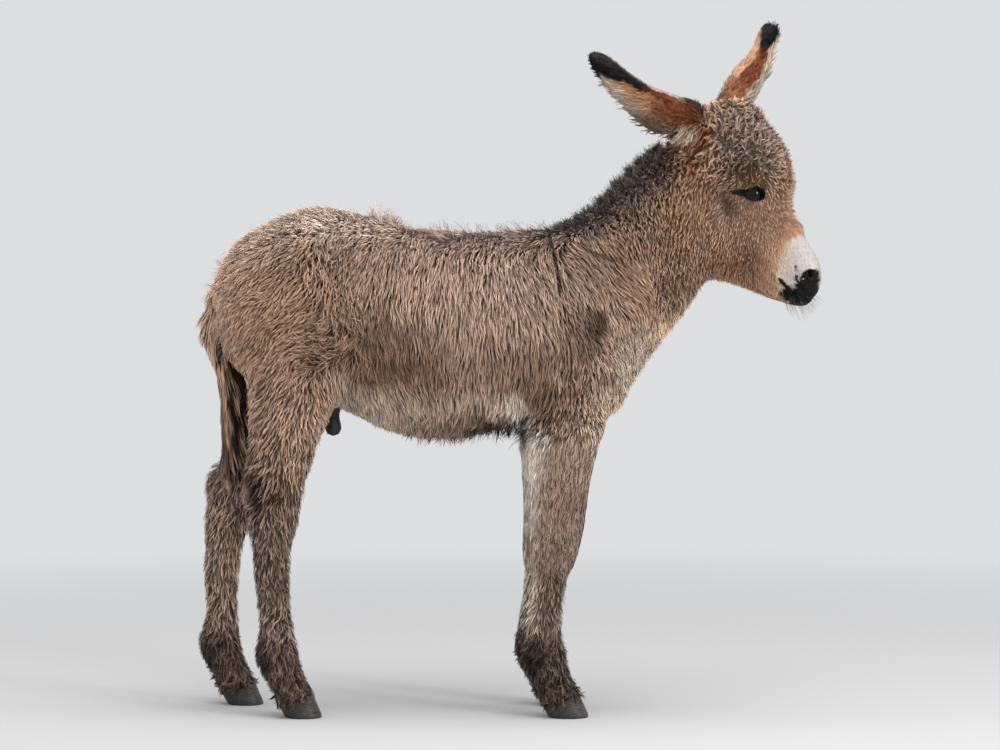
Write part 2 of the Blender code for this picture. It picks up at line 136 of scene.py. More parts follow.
def normals_of(points, triangles):
    a, b, c = (points[triangles[:, k]] for k in range(3))
    face = np.cross(b - a, c - a)
    made = np.zeros_like(points)
    for k in range(3):
        for corner in range(3):
            made[:, k] += np.bincount(triangles[:, corner], face[:, k], len(points))
    return unit(made)


def ramp(value, low, high):
    """0 below low, 1 above high, smooth between."""
    t = np.clip((value - low) / (high - low), 0, 1)
    return t * t * (3 - 2 * t)


def bell(value, centre, reach):
    """1 at the centre, falling away smoothly over about the reach."""
    return np.exp(-(((value - centre) / reach) ** 2))


joined = bmesh.new()
for name in FLESH:
    piece = welded(name, EYE_SWELL if name.startswith("eye") else FLESH_SWELL)
    scratch = bpy.data.meshes.new("scratch")
    piece.to_mesh(scratch)
    piece.free()
    joined.from_mesh(scratch)
    bpy.data.meshes.remove(scratch)

# The cartilage that seats each ear on the skull.
eyes = {side: sum(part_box("eye_" + side), Vector()) / 2 for side in ("right", "left")}
brow_point = (eyes["right"] + eyes["left"]) / 2
ear_roots, ear_tips = {}, {}
for side in eyes:
    ear = welded("ear_" + side)
    reaches = [(v.co - brow_point).length for v in ear.verts]
    ear_tips[side] = ear.verts[:][reaches.index(max(reaches))].co.copy()
    low = [v.co for v, reach in zip(ear.verts, reaches) if reach < min(reaches) + EAR_ROOT_DEPTH]
    ear_roots[side] = sum(low, Vector()) / len(low)
    ear.free()
    turn = (ear_tips[side] - ear_roots[side]).to_track_quat("Z", "Y").to_matrix().to_4x4()
    scale = Matrix.Diagonal((EAR_SEAT_RADIUS, EAR_SEAT_RADIUS, EAR_SEAT_LENGTH, 1.0))
    seat = Matrix.Translation(ear_roots[side]) @ turn @ scale
    bmesh.ops.create_icosphere(joined, subdivisions=4, radius=1.0, matrix=seat)
rough = link("skin_rough", bpy.data.meshes.new("skin_rough"))
joined.to_mesh(rough.data)
joined.free()
join = rough.modifiers.new("join", "REMESH")
join.mode = "VOXEL"
join.voxel_size = SKIN_VOXEL
rough.data = evaluated_mesh(rough)
rough.modifiers.clear()


def tree_of(names):
    """A search tree over the faces of some CAD nodes, and which of the nodes each face is from."""
    corners, faces, owner = [], [], []
    for index, name in enumerate(names):
        piece = welded(name)
        first = len(corners)
        corners += [v.co.copy() for v in piece.verts]
        faces += [[first + v.index for v in f.verts] for f in piece.faces]
        owner += [index] * len(piece.faces)
        piece.free()
    return BVHTree.FromPolygons(corners, faces), np.array(owner)


solid_tree, owner = tree_of(FLESH)
hoof_tree = tree_of(["hoof_" + leg for leg in LEGS])[0]


def parts_at(points):
    """Which part of the body each place on the skin belongs to."""
    return np.array([owner[solid_tree.find_nearest(Vector(p))[2]] for p in points])


def is_part(label, *wanted):
    return np.isin(label, [i for i, name in enumerate(FLESH) if any(w in name for w in wanted)])


# The head's own axes, from the line between the eyes: forward, to its left, and up.
brow = np.array(brow_point)
head_left = unit(np.array(eyes["left"] - eyes["right"]))
head_fore = unit(np.cross(head_left, (0, 0, 1)))
head_up = np.cross(head_fore, head_left)
head_axes = np.array([head_fore, head_left, head_up])


def in_head(points):
    """Forward, leftward and upward distance from the point between the eyes."""
    return (np.asarray(points) - brow) @ head_axes.T


# How deep the coat lies on each part, from the skin to the tips.
COAT_DEPTH = {
    "trunk": 0.0115, "neck": 0.0105, "tail": 0.0060, "thigh": 0.0080, "forearm": 0.0075,
    "cannon": 0.0055, "pastern": 0.0050, "ear": 0.0011,
}
FOREHEAD_DEPTH, CHEEK_DEPTH, MUZZLE_DEPTH = 0.0075, 0.0036, 0.0009
JAW_MORE, CROWN_MORE = 0.003, 0.0045
CLOSE_TO_HOOF = 0.03


def coat_depth(points, label, edges):
    depth = np.full(len(points), COAT_DEPTH["trunk"])
    for part, deep in COAT_DEPTH.items():
        depth[is_part(label, part)] = deep
    fore, _, up = in_head(points).T
    down_face = 0.25 * fore - up
    on_head = FOREHEAD_DEPTH + (CHEEK_DEPTH - FOREHEAD_DEPTH) * ramp(down_face, -0.05, 0.02)
    on_head += (MUZZLE_DEPTH - CHEEK_DEPTH) * ramp(down_face + fore, 0.10, 0.16)
    on_head += JAW_MORE * (ramp(0.02 - fore, 0.0, 0.05) * ramp(-up, 0.05, 0.12))
    on_head += CROWN_MORE * ramp(fore, 0.0, 0.035) * ramp(up, 0.070, 0.105)
    chosen = is_part(label, "head", "eye")
    depth[chosen] = on_head[chosen]
    depth = relaxed(depth, edges, 20)
    to_hoof = np.array([hoof_tree.find_nearest(Vector(p), CLOSE_TO_HOOF)[3] or CLOSE_TO_HOOF for p in points])
    return depth * (0.06 + 0.94 * ramp(to_hoof, 0.002, 0.016))


def largest_surface(mesh):
    """Drops every surface but the largest connected one."""
    edges = edges_of(mesh)
    label = np.arange(len(mesh.vertices))
    while True:
        low = np.minimum(label[edges[:, 0]], label[edges[:, 1]])
        before = label.copy()
        np.minimum.at(label, edges[:, 0], low)
        np.minimum.at(label, edges[:, 1], low)
        label = label[label]
        if (label == before).all():
            break
    stray = np.nonzero(label != np.bincount(label).argmax())[0]
    if len(stray):
        shape = bmesh.new()
        shape.from_mesh(mesh)
        shape.verts.ensure_lookup_table()
        bmesh.ops.delete(shape, geom=[shape.verts[i] for i in stray], context="VERTS")
        shape.to_mesh(mesh)
        shape.free()


skin_mesh = rough.data
largest_surface(skin_mesh)
points = points_of(skin_mesh)
edges = edges_of(skin_mesh)
triangles = triangles_of(skin_mesh)
label = parts_at(points)
depth = coat_depth(points, label, edges)

# A tuft of loose hair stands on the loin in the solids: the hide is level under it.
LOIN_TUFT_X, LOIN_TUFT_Z = -0.187, 0.765
LEVELLING, SMOOTHING = 420, 50
loin = 1.0 - ramp(np.hypot(points[:, 0] - LOIN_TUFT_X, points[:, 2] - LOIN_TUFT_Z), 0.040, 0.070)
points = relaxed(points, edges, 6)
points = relaxed(points, edges, LEVELLING, share=0.5 * loin)

# The broad body is evened out, and so is the flesh across every seam between two parts.
broad = is_part(label, "trunk", "neck").astype(float)
seam = np.zeros(len(points))
changes = edges[label[edges[:, 0]] != label[edges[:, 1]]].ravel()
seam[changes] = 1.0
seam[is_part(label, "ear", "eye")] = 0.0
seam = np.minimum(relaxed(seam, edges, 12) * 4.0, 1.0)
for side in ear_roots:
    from_root = np.linalg.norm(points - np.array(ear_roots[side]), axis=1)
    seam = np.maximum(seam, 1 - ramp(from_root, 0.022, 0.034))
points = relaxed(points, edges, SMOOTHING, share=0.5 * np.maximum(relaxed(broad, edges, 10), seam))
STEPS_INWARD = 4
for _ in range(STEPS_INWARD):
    points -= normals_of(points, triangles) * (depth / STEPS_INWARD)[:, None]
    points = relaxed(points, edges, 2, share=0.4)

# Down the front of the face the flesh stands further back under the hair: at each height in
# the head's axes, how far forward it lies and how far it is set back.
FACE_FRONT = np.array([
    (-0.185, 0.070, 0.0020), (-0.178, 0.077, 0.0045), (-0.170, 0.090, 0.0055), (-0.160, 0.098, 0.0062),
    (-0.150, 0.104, 0.0068), (-0.143, 0.105, 0.0060), (-0.134, 0.105, 0.0034), (-0.122, 0.103, 0.0028),
    (-0.106, 0.102, 0.0045), (-0.090, 0.096, 0.0070), (-0.075, 0.089, 0.0087), (-0.061, 0.082, 0.0085),
    (-0.051, 0.078, 0.0062), (-0.042, 0.0735, 0.0118), (-0.034, 0.070, 0.0145), (-0.016, 0.066, 0.0140),
    (0.005, 0.064, 0.0118), (0.023, 0.060, 0.0078), (0.043, 0.055, 0.0060), (0.064, 0.046, 0.0060),
    (0.087, 0.031, 0.0060), (0.108, 0.018, 0.0080), (0.125, 0.004, 0.0060), (0.145, -0.020, 0.0000),
])
heights, fronts, backs = FACE_FRONT.T
slope = np.gradient(fronts, heights)
face = in_head(points)
of_head = relaxed(is_part(label, "head", "eye").astype(float), edges, 10)
shift = np.interp(face[:, 2], heights, backs) * of_head
shift *= ramp(face[:, 0] - np.interp(face[:, 2], heights, fronts), -0.040, -0.006)
tilt = np.interp(face[:, 2], heights, slope)
inward = (-head_fore + tilt[:, None] * head_up) / np.hypot(1, tilt)[:, None]
points += inward * shift[:, None]

# The flesh is leaner too behind the elbows, over the tail and behind the forefeet.
LEANER, LEANER_AT_TAIL = 0.0050, 0.0060
x, _, z = points.T
of_trunk = relaxed(is_part(label, "trunk", "tail").astype(float), edges, 10)
at_elbow = LEANER * of_trunk * ramp(x, -0.085, -0.045) * (1 - ramp(x, 0.03, 0.06))
points[:, 2] += at_elbow * (1 - ramp(z, 0.45, 0.49))
points[:, 0] += LEANER_AT_TAIL * of_trunk * (1 - ramp(x, -0.460, -0.425)) * ramp(z, 0.46, 0.58)
points[:, 0] += LEANER * of_trunk * (1 - ramp(x, -0.435, -0.405)) * bell(z, 0.515, 0.045)
points[:, 0] += LEANER * ramp(x, -0.02, 0.00) * (1 - ramp(x, 0.025, 0.055)) * bell(z, 0.118, 0.034)


def ear_frame(side, points, label):
    """An ear's root, its run to the tip, the way across to its tan rim, and its two edges."""
    root, tip = np.array(ear_roots[side]), np.array(ear_tips[side])
    run = tip - root
    # Across the ear as it is seen from the right: toward its tan rim, away from its white fringe.
    rim_way = np.array([0.0, 0.0, 1.0]) if side == "right" else np.array([-1.0, 0.0, 0.0])
    rim_way = unit(rim_way - (rim_way @ run) / (run @ run) * run)
    own = points[is_part(label, "ear_" + side)]
    along = (own - root) @ run / (run @ run)
    bins = np.linspace(0.0, 1.0, 11)
    low, high = [], []
    for middle in bins:
        across = ((own - root) @ rim_way)[np.abs(along - middle) < 0.09]
        low.append(np.percentile(across, 3))
        high.append(np.percentile(across, 97))
    return root, run, rim_way, bins, np.array(low), np.array(high)


# How much narrower each ear is made on its rim side and on its fringe side, along its length,
# and how far its tip is drawn out and toward the rim.
EAR_TIP = {"right": (0.0120, 0.0040), "left": (-0.0045, 0.0)}
EAR_TRIM = {
    "right": (
        ((0, .13, .26, .40, .51, .72, .88), (.0040, .0065, .0075, .0080, .0085, .0045, .0)),
        ((0, .1, .2, .3, .4, .5, .6, .75, .9, 1),
         (-.008, -.012, -.013, -.011, -.009, -.006, -.004, -.003, -.005, -.004)),
    ),
    "left": (
        ((.35, .47, .61, .77, .88, .98), (.0, .003, .012, .018, .012, .006)),
        ((0, .15, .26, .37, .47, .60, .77, .90, 1), (.010, .012, .011, .009, .003, .003, .0, -.006, -.008)),
    ),
}
for side, (rim_trim, fringe_trim) in EAR_TRIM.items():
    root, run, rim_way, bins, low, high = ear_frame(side, points, label)
    of_ear = relaxed(is_part(label, "ear_" + side).astype(float), edges, 4)
    offset = points - root
    along = offset @ run / (run @ run)
    across = offset @ rim_way
    high, low = np.interp(along, bins, high), np.interp(along, bins, low)
    rim_share = np.clip(np.interp(along, *rim_trim) / high, -0.8, 0.65)
    fringe_share = np.clip(np.interp(along, *fringe_trim) / -low, -0.8, 0.65)
    change = np.where(across > 0, -across * rim_share, -across * fringe_share)
    points += rim_way * (change * of_ear)[:, None]
    longer, raised = EAR_TIP[side]
    points += (unit(run) * longer + rim_way * raised) * (ramp(along, 0.65, 1.0) * of_ear)[:, None]
points = relaxed(points, edges, 3, share=0.4)
set_points(skin_mesh, points)

SKIN_SHARE = 0.30
thin = rough.modifiers.new("thin", "DECIMATE")
thin.ratio = SKIN_SHARE
skin_mesh = evaluated_mesh(rough)
bpy.data.objects.remove(rough, do_unlink=True)
skin = link("skin", skin_mesh)


# ---- Face: eyelids, nostrils and lips sculpted into the skin --------------------------------
# The lids are soft folds stretched over each eyeball, the nostrils open pits in the sides of
# the muzzle, and the lips meet along a fine groove. The mesh is made finer there first.

EYE_RADIUS = 0.0174
LID_THICKNESS = 0.0019
LID_CLEARANCE = 0.0003
GAZE_FORWARD = math.radians(15)
LID_REAR, LID_FRONT = (-0.0168, 0.0028), (0.0152, -0.0035)
UPPER_LID = [
    LID_REAR, (-0.0118, 0.0070), (-0.0030, 0.0088), (0.0050, 0.0102), (0.0108, 0.0084), (0.0142, 0.0026),
]
LOWER_LID = [LID_FRONT, (0.0112, -0.0074), (0.0040, -0.0086), (-0.0044, -0.0080), (-0.0114, -0.0042)]
NOSTRIL = (0.0862, 0.0335, -0.1238)
NOSTRIL_SIZE = (0.0044, 0.0072)
NOSTRIL_LEAN = math.radians(24)
NOSTRIL_DEPTH, NOSTRIL_RIM = 0.0085, 0.0013
LIP_GROOVE, LIP_FULLNESS = 0.0026, 0.0009
MOUTH = [(0.0400, 0.0350, -0.1320), (0.0500, 0.0330, -0.1450), (0.0687, 0.0290, -0.1610),
         (0.0830, 0.0205, -0.1685), (0.0900, 0.0000, -0.1715)]
FOLD_END = -0.0330


def refine(mesh, near, rounds):
    """Splits every edge whose middle lies where near() says, a number of times."""
    shape = bmesh.new()
    shape.from_mesh(mesh)
    for _ in range(rounds):
        middles = np.array([(e.verts[0].co + e.verts[1].co) / 2 for e in shape.edges])
        picked = near(middles)
        chosen = [e for e, pick in zip(shape.edges, picked) if pick]
        bmesh.ops.subdivide_edges(shape, edges=chosen, cuts=1, smooth=0.0)
        bmesh.ops.triangulate(shape, faces=[f for f in shape.faces if len(f.verts) > 3])
    shape.to_mesh(mesh)
    shape.free()


def eye_axes(side):
    """Outward along the gaze, forward along the lids, and up."""
    sign = 1.0 if side == "left" else -1.0
    out = sign * head_left * math.cos(GAZE_FORWARD) + head_fore * math.sin(GAZE_FORWARD)
    along = head_fore * math.cos(GAZE_FORWARD) - sign * head_left * math.sin(GAZE_FORWARD)
    return out, along, head_up


def rounded(line, rounds):
    """A closed line with its corners cut smooth."""
    line = np.array(line)
    for _ in range(rounds):
        ahead = np.roll(line, -1, axis=0)
        line = np.stack([0.75 * line + 0.25 * ahead, 0.25 * line + 0.75 * ahead], axis=1).reshape(-1, 2)
    return line


LIDS = rounded(UPPER_LID + LOWER_LID, 2)


def segment_distance(points, line):
    """Distance from each point to an open line of points."""
    best = np.full(len(points), 9.0)
    for a, b in zip(line[:-1], line[1:]):
        run = b - a
        t = np.clip(((points - a) @ run) / (run @ run), 0, 1)
        best = np.minimum(best, np.linalg.norm(points - a - t[:, None] * run, axis=1))
    return best


def inside_outline(points, line):
    inside = np.zeros(len(points), bool)
    for a, b in zip(line, np.roll(line, -1, axis=0)):
        crosses = (a[1] > points[:, 1]) != (b[1] > points[:, 1])
        rise = b[1] - a[1] if b[1] != a[1] else 1e-12
        inside ^= crosses & (points[:, 0] < a[0] + (points[:, 1] - a[1]) * (b[0] - a[0]) / rise)
    return inside


def lid_gap(points, side):
    """How far each point is outside the opening between the lids, and its place across the gaze."""
    out, along, up = eye_axes(side)
    offset = points - np.array(eyes[side])
    flat = np.stack([offset @ along, offset @ up], axis=1)
    gap = np.full(len(points), 0.2)
    ahead = offset @ out
    close = (np.abs(flat).max(axis=1) < 0.06) & (ahead > 0)
    far = segment_distance(flat[close], np.vstack([LIDS, LIDS[:1]]))
    gap[close] = np.where(inside_outline(flat[close], LIDS), -far, far)
    return gap, flat, ahead


def rear_fold(points, side):
    """0 along the bare fold behind each eye and 1 at its edge."""
    _, flat, ahead = lid_gap(points, side)
    fold = np.array([LID_REAR, (FOLD_END, 0.0034)])
    reach = np.interp(flat[:, 0], [FOLD_END, -0.013], [0.0028, 0.0086])
    return np.where(ahead > 0, segment_distance(flat, fold) / reach, 9.0)


def eye_gap(points):
    return np.minimum(lid_gap(points, "right")[0], lid_gap(points, "left")[0])


def mirrored(points):
    """Places in the head's axes, with both sides folded onto its left."""
    face = in_head(points)
    face[:, 1] = np.abs(face[:, 1])
    return face


def nostril_gap(points):
    """About 0 at the nostril's middle and 1 at its rim."""
    face = mirrored(points) - np.array(NOSTRIL)
    across = face[:, 0] * math.cos(NOSTRIL_LEAN) + face[:, 2] * math.sin(NOSTRIL_LEAN)
    tall = face[:, 2] * math.cos(NOSTRIL_LEAN) - face[:, 0] * math.sin(NOSTRIL_LEAN)
    across = across - 0.0020 * bell(tall, 0.006, 0.005)
    away = np.abs(face[:, 1]) / 0.02
    return np.sqrt((across / NOSTRIL_SIZE[0]) ** 2 + (tall / NOSTRIL_SIZE[1]) ** 2 + away ** 4)


def mouth_gap(points):
    return segment_distance(mirrored(points), np.array(MOUTH))


def near_eye(middles):
    return np.minimum(*(np.linalg.norm(middles - np.array(eyes[s]), axis=1) for s in eyes)) < 0.033


def near_lids(middles):
    return np.abs(eye_gap(middles)) < 0.0085


def near_muzzle(middles):
    face = mirrored(middles)
    return (face[:, 0] > 0.025) & (face[:, 2] < -0.095) & (face[:, 2] > -0.2)


def near_nostril_or_mouth(middles):
    return (nostril_gap(middles) < 1.9) | (mouth_gap(middles) < 0.004)


REFINED = [(near_eye, 1), (near_eye, 1), (near_lids, 1), (near_muzzle, 1), (near_nostril_or_mouth, 2)]
for near, rounds in REFINED:
    refine(skin_mesh, near, rounds)
points = points_of(skin_mesh)
edges = edges_of(skin_mesh)
triangles = triangles_of(skin_mesh)
LID_SMOOTHING = 140
NEAR_BALL = 0.05
for side in eyes:
    out, along, up = eye_axes(side)
    centre = np.array(eyes[side])
    gap, flat, ahead = lid_gap(points, side)
    away = np.linalg.norm(points - centre, axis=1)
    facing = (ahead > 0) * (away < NEAR_BALL)
    around = (1 - ramp(np.hypot(flat[:, 0] / 1.25, flat[:, 1]), 0.015, 0.027)) * facing
    points = relaxed(points, edges, LID_SMOOTHING, share=0.5 * around)
    gap, flat, ahead = lid_gap(points, side)
    reach = np.hypot(flat[:, 0], flat[:, 1])
    ball = np.sqrt(np.maximum(EYE_RADIUS ** 2 - reach ** 2, 1e-8))
    lid_radius = EYE_RADIUS + LID_THICKNESS
    lid = np.sqrt(np.maximum(lid_radius ** 2 - reach ** 2, 1e-8))
    margin = ball + LID_CLEARANCE + (lid - ball) * ramp(gap, 0.0, 0.0013)
    raised = np.logaddexp(ahead / 0.0012, lid / 0.0012) * 0.0012
    height = margin + (raised - margin) * ramp(gap, 0.0006, 0.0045)
    # A crease and a full fold over the upper lid, two fine creases under the lower one.
    above = ramp(flat[:, 1], -0.002, 0.006)
    height += -0.0013 * bell(gap, 0.0052, 0.0010) * above
    height += 0.0016 * bell(gap, 0.0100, 0.0034) * above
    height += (-0.0008 * bell(gap, 0.0048, 0.0009) - 0.0005 * bell(gap, 0.0085, 0.0010)) * (1 - above)
    # Inside the lids the skin passes behind the ball, and a furrow runs back from the corner.
    height = np.where(gap < 0, ball - 0.0030 * ramp(-gap, 0.0, 0.0009) + LID_CLEARANCE, height)
    furrow = np.array([LID_REAR, (-0.0310, 0.0036)])
    height -= 0.0014 * bell(segment_distance(flat, furrow), 0, 0.0011)
    shaped = centre + flat[:, :1] * along + flat[:, 1:] * up + height[:, None] * out
    blend = (1 - ramp(np.hypot(flat[:, 0] / 1.35, flat[:, 1]), 0.016, 0.024)) * facing
    points += (shaped - points) * blend[:, None]

normals = normals_of(points, triangles)
pit = nostril_gap(points)
sink = -NOSTRIL_DEPTH * (1 - ramp(pit, 0.35, 1.0)) + NOSTRIL_RIM * bell(pit, 1.28, 0.24)
lips = mouth_gap(points)
sink += -LIP_GROOVE * bell(lips, 0, 0.0010) + LIP_FULLNESS * bell(lips, 0.0042, 0.0022)
inward = -np.sign(in_head(points)[:, 1])[:, None] * head_left - 0.35 * head_fore
nostril_sink = np.minimum(-NOSTRIL_DEPTH * (1 - ramp(pit, 0.30, 1.0)), 0)
sink = (sink - nostril_sink) * (in_head(points)[:, 0] > 0)
points += normals * sink[:, None] - inward * nostril_sink[:, None]
points = relaxed(points, edges, 3, share=0.35 * (pit < 1.5))
set_points(skin_mesh, points)
points = points_of(skin_mesh)
normals = normals_of(points, triangles)
label = parts_at(points)
depth = coat_depth(points, label, edges)
headness = relaxed(is_part(label, "head", "eye").astype(float), edges, 16)
BARE_FOLD = 0.62
in_fold = np.minimum(rear_fold(points, "right"), rear_fold(points, "left")) < BARE_FOLD
eyes_clear = np.where(in_fold, 0.0, eye_gap(points))
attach(skin, "root")
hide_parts(*[name for name in FLESH if not name.startswith("eye")])
skin_mesh.shade_smooth()


# ---- Markings: the colours of hide and hair, with some painted light and shade ---------------
# A fawn foal: grey-brown on the crest, cream below, rust at the ears, a white muzzle with dark
# lips and nostrils, a dark blotch on the shoulder, and mud dried dark on the hocks and the feet.


def linear(red, green, blue):
    """A colour given 0 to 255, as linear light."""
    c = np.array([red, green, blue]) / 255
    return np.where(c <= 0.04045, c / 12.92, ((c + 0.055) / 1.055) ** 2.4)


FAWN = linear(180, 152, 134)
TAN = linear(184, 147, 120)
CREAM = linear(212, 193, 174)
SMOKE = linear(136, 119, 110)
RUST = linear(168, 100, 62)
UMBER = linear(112, 84, 68)
MUD = linear(70, 54, 45)
SOOT = linear(27, 21, 20)


def drift(points, size, seed):
    """Smooth unevenness from about -1 to 1, in patches about as large as size."""
    draw = np.random.default_rng(seed)
    total = np.zeros(len(points))
    for _ in range(7):
        ahead = unit(draw.normal(size=3)) * (2 * math.pi / size) * draw.uniform(0.6, 1.5)
        total += np.sin(points @ ahead + draw.uniform(0, 6.3))
    return total / 2.6


def patch(points, centre, reach):
    """1 at the centre of a soft ellipsoid and 0 outside it; both sides are folded together."""
    folded = np.stack([points[:, 0], np.abs(points[:, 1]), points[:, 2]], axis=1)
    away = np.linalg.norm((folded - np.array(centre)) / np.array(reach), axis=1)
    return 1 - ramp(away + 0.16 * drift(points, 0.03, 5), 0.45, 1.1)


def toward(colour, other, share):
    return colour + (other - colour) * np.clip(share, 0, 1)[:, None]


def evenly(points, value):
    """The same colour or direction at every point."""
    return np.tile(value, (len(points), 1))


def drawn_line(points, line, near, far, uneven=0.0):
    """1 along a line over the animal's side, given by length and height, fading from near to far."""
    return 1 - ramp(segment_distance(points[:, [0, 2]], np.array(line)) + uneven, near, far)


# Where each marking of the body lies, how far it reaches, its colour and how strong it is. Some are painted
# shade or painted light, as said by each.
BODY_MARKS_AND_PAINTED_SHADING = [
    ((-0.30, 0.05, 0.52), (0.20, 0.16, 0.20), TAN, 0.45),
    ((0.24, 0.03, 0.70), (0.13, 0.10, 0.17), TAN, 0.75),
    ((0.265, 0.05, 0.770), (0.045, 0.06, 0.070), linear(206, 160, 126), 0.80),
    # Painted shade along the lower barrel.
    ((-0.05, 0.09, 0.530), (0.230, 0.07, 0.085), linear(150, 123, 105), 0.42),
    ((-0.225, 0.09, 0.685), (0.105, 0.07, 0.062), linear(150, 122, 104), 0.38),
    ((0.005, 0.09, 0.672), (0.080, 0.07, 0.050), linear(204, 176, 158), 0.42),
    ((-0.13, 0.06, 0.466), (0.21, 0.12, 0.050), CREAM, 0.42),
    ((-0.195, 0.07, 0.446), (0.055, 0.08, 0.022), linear(128, 104, 88), 0.60),
    ((-0.055, 0.07, 0.462), (0.050, 0.08, 0.020), linear(140, 116, 100), 0.50),
    # Darker under the belly: dark wisps there, with painted shade as well.
    ((-0.11, 0.04, 0.428), (0.16, 0.12, 0.034), linear(132, 108, 92), 0.75),
    ((-0.22, 0.02, 0.47), (0.09, 0.09, 0.075), CREAM, 0.70),
    ((-0.258, 0.08, 0.500), (0.020, 0.06, 0.040), CREAM, 0.80),
    ((-0.222, 0.08, 0.494), (0.052, 0.07, 0.020), linear(226, 205, 184), 0.75),
    ((-0.262, 0.09, 0.620), (0.016, 0.06, 0.085), UMBER, 0.32),
    ((-0.205, 0.09, 0.562), (0.105, 0.06, 0.078), UMBER, 0.62),
    ((-0.320, 0.00, 0.765), (0.140, 0.14, 0.065), linear(232, 210, 194), 0.90),
    ((-0.440, 0.00, 0.670), (0.080, 0.14, 0.105), linear(244, 208, 178), 0.95),
    ((-0.210, 0.00, 0.750), (0.070, 0.12, 0.028), linear(226, 202, 186), 0.55),
    ((-0.080, 0.00, 0.738), (0.090, 0.12, 0.022), linear(214, 190, 174), 0.35),
    ((-0.300, 0.09, 0.650), (0.055, 0.06, 0.090), linear(146, 117, 98), 0.50),
    ((-0.325, 0.09, 0.525), (0.050, 0.06, 0.055), linear(146, 114, 94), 0.60),
    ((-0.126, 0.09, 0.540), (0.044, 0.06, 0.070), UMBER, 0.50),
    ((0.100, 0.09, 0.560), (0.036, 0.06, 0.070), UMBER, 0.34),
    ((0.262, 0.04, 0.625), (0.032, 0.08, 0.055), linear(144, 116, 94), 0.75),
    ((-0.365, 0.09, 0.600), (0.130, 0.08, 0.150), linear(197, 158, 131), 0.75),
    ((-0.325, 0.09, 0.450), (0.095, 0.08, 0.110), linear(208, 173, 149), 0.70),
    ((0.01, 0.02, 0.440), (0.085, 0.085, 0.036), MUD, 0.92),
    ((0.02, 0.09, 0.53), (0.06, 0.06, 0.060), UMBER, 0.40),
    ((0.056, 0.09, 0.482), (0.046, 0.06, 0.040), UMBER, 0.66),
    ((-0.006, 0.09, 0.470), (0.034, 0.08, 0.030), linear(232, 210, 188), 0.74),
    ((0.245, 0.00, 0.56), (0.065, 0.070, 0.090), linear(240, 210, 180), 1.00),
    ((0.195, 0.03, 0.530), (0.050, 0.090, 0.075), CREAM, 0.85),
    ((0.152, 0.05, 0.455), (0.050, 0.08, 0.062), linear(236, 206, 178), 0.90),
    # The back of the foreleg is pale hair, painted near white as painted light where the leg lies in shade.
    ((0.020, 0.080, 0.415), (0.040, 0.120, 0.056), linear(255, 244, 230), 0.98),
    ((0.014, 0.080, 0.350), (0.040, 0.120, 0.120), linear(255, 244, 230), 0.96),
    ((0.012, 0.080, 0.185), (0.036, 0.120, 0.090), linear(248, 232, 214), 0.95),
    ((0.134, 0.060, 0.400), (0.014, 0.060, 0.110), linear(220, 197, 176), 0.60),
    ((0.080, 0.060, 0.374), (0.040, 0.060, 0.062), linear(146, 122, 106), 0.74),
    ((0.085, 0.060, 0.290), (0.034, 0.060, 0.050), linear(136, 112, 97), 0.45),
    ((0.085, 0.060, 0.330), (0.060, 0.060, 0.040), UMBER, 0.30),
    ((0.066, 0.060, 0.230), (0.034, 0.060, 0.050), linear(134, 110, 95), 0.50),
    ((-0.325, 0.070, 0.338), (0.028, 0.050, 0.050), linear(192, 162, 140), 0.50),
    ((-0.415, 0.070, 0.500), (0.030, 0.060, 0.070), linear(222, 186, 158), 0.55),
    ((-0.385, 0.050, 0.715), (0.052, 0.080, 0.045), linear(224, 194, 170), 0.60),
    # A dark brown-black blotch on the shoulder, with fainter brown round it.
    ((0.137, 0.090, 0.604), (0.020, 0.050, 0.044), MUD, 0.88),
    ((0.118, 0.090, 0.592), (0.036, 0.050, 0.050), MUD, 0.36),
    ((0.150, 0.090, 0.700), (0.090, 0.060, 0.045), UMBER, 0.42),
    ((-0.305, 0.08, 0.53), (0.028, 0.06, 0.050), MUD, 0.34),
    ((-0.245, 0.08, 0.47), (0.030, 0.06, 0.060), MUD, 0.22),
    ((0.16, 0.00, 0.800), (0.145, 0.060, 0.105), SMOKE, 1.00),
    ((0.08, 0.00, 0.750), (0.080, 0.070, 0.050), SMOKE, 0.75),
    ((0.235, 0.00, 0.855), (0.072, 0.072, 0.072), SMOKE, 0.85),
    ((0.300, 0.00, 0.945), (0.055, 0.050, 0.045), linear(158, 136, 122), 0.85),
    ((0.278, 0.06, 0.846), (0.015, 0.050, 0.034), linear(206, 140, 98), 0.78),
    ((-0.375, 0.07, 0.347), (0.044, 0.050, 0.044), linear(42, 32, 26), 0.95),
    ((-0.468, 0.07, 0.352), (0.022, 0.050, 0.032), linear(84, 66, 55), 0.60),
    # The far hind cannon is painted pale, as painted light against the shadow the body casts on it.
    ((-0.455, 0.07, 0.250), (0.045, 0.050, 0.170), linear(224, 192, 166), 0.72),
]


HEELS = [(0.036, 0.080, 0.092), (-0.384, 0.080, 0.085), (-0.478, 0.080, 0.074)]
SHOULDER_STRIPE = [(0.0585, 0.752), (0.0663, 0.718), (0.0725, 0.688), (0.0770, 0.655)]
NECK_CREASE_SHADE = [(0.108, 0.726), (0.130, 0.713), (0.162, 0.702)]


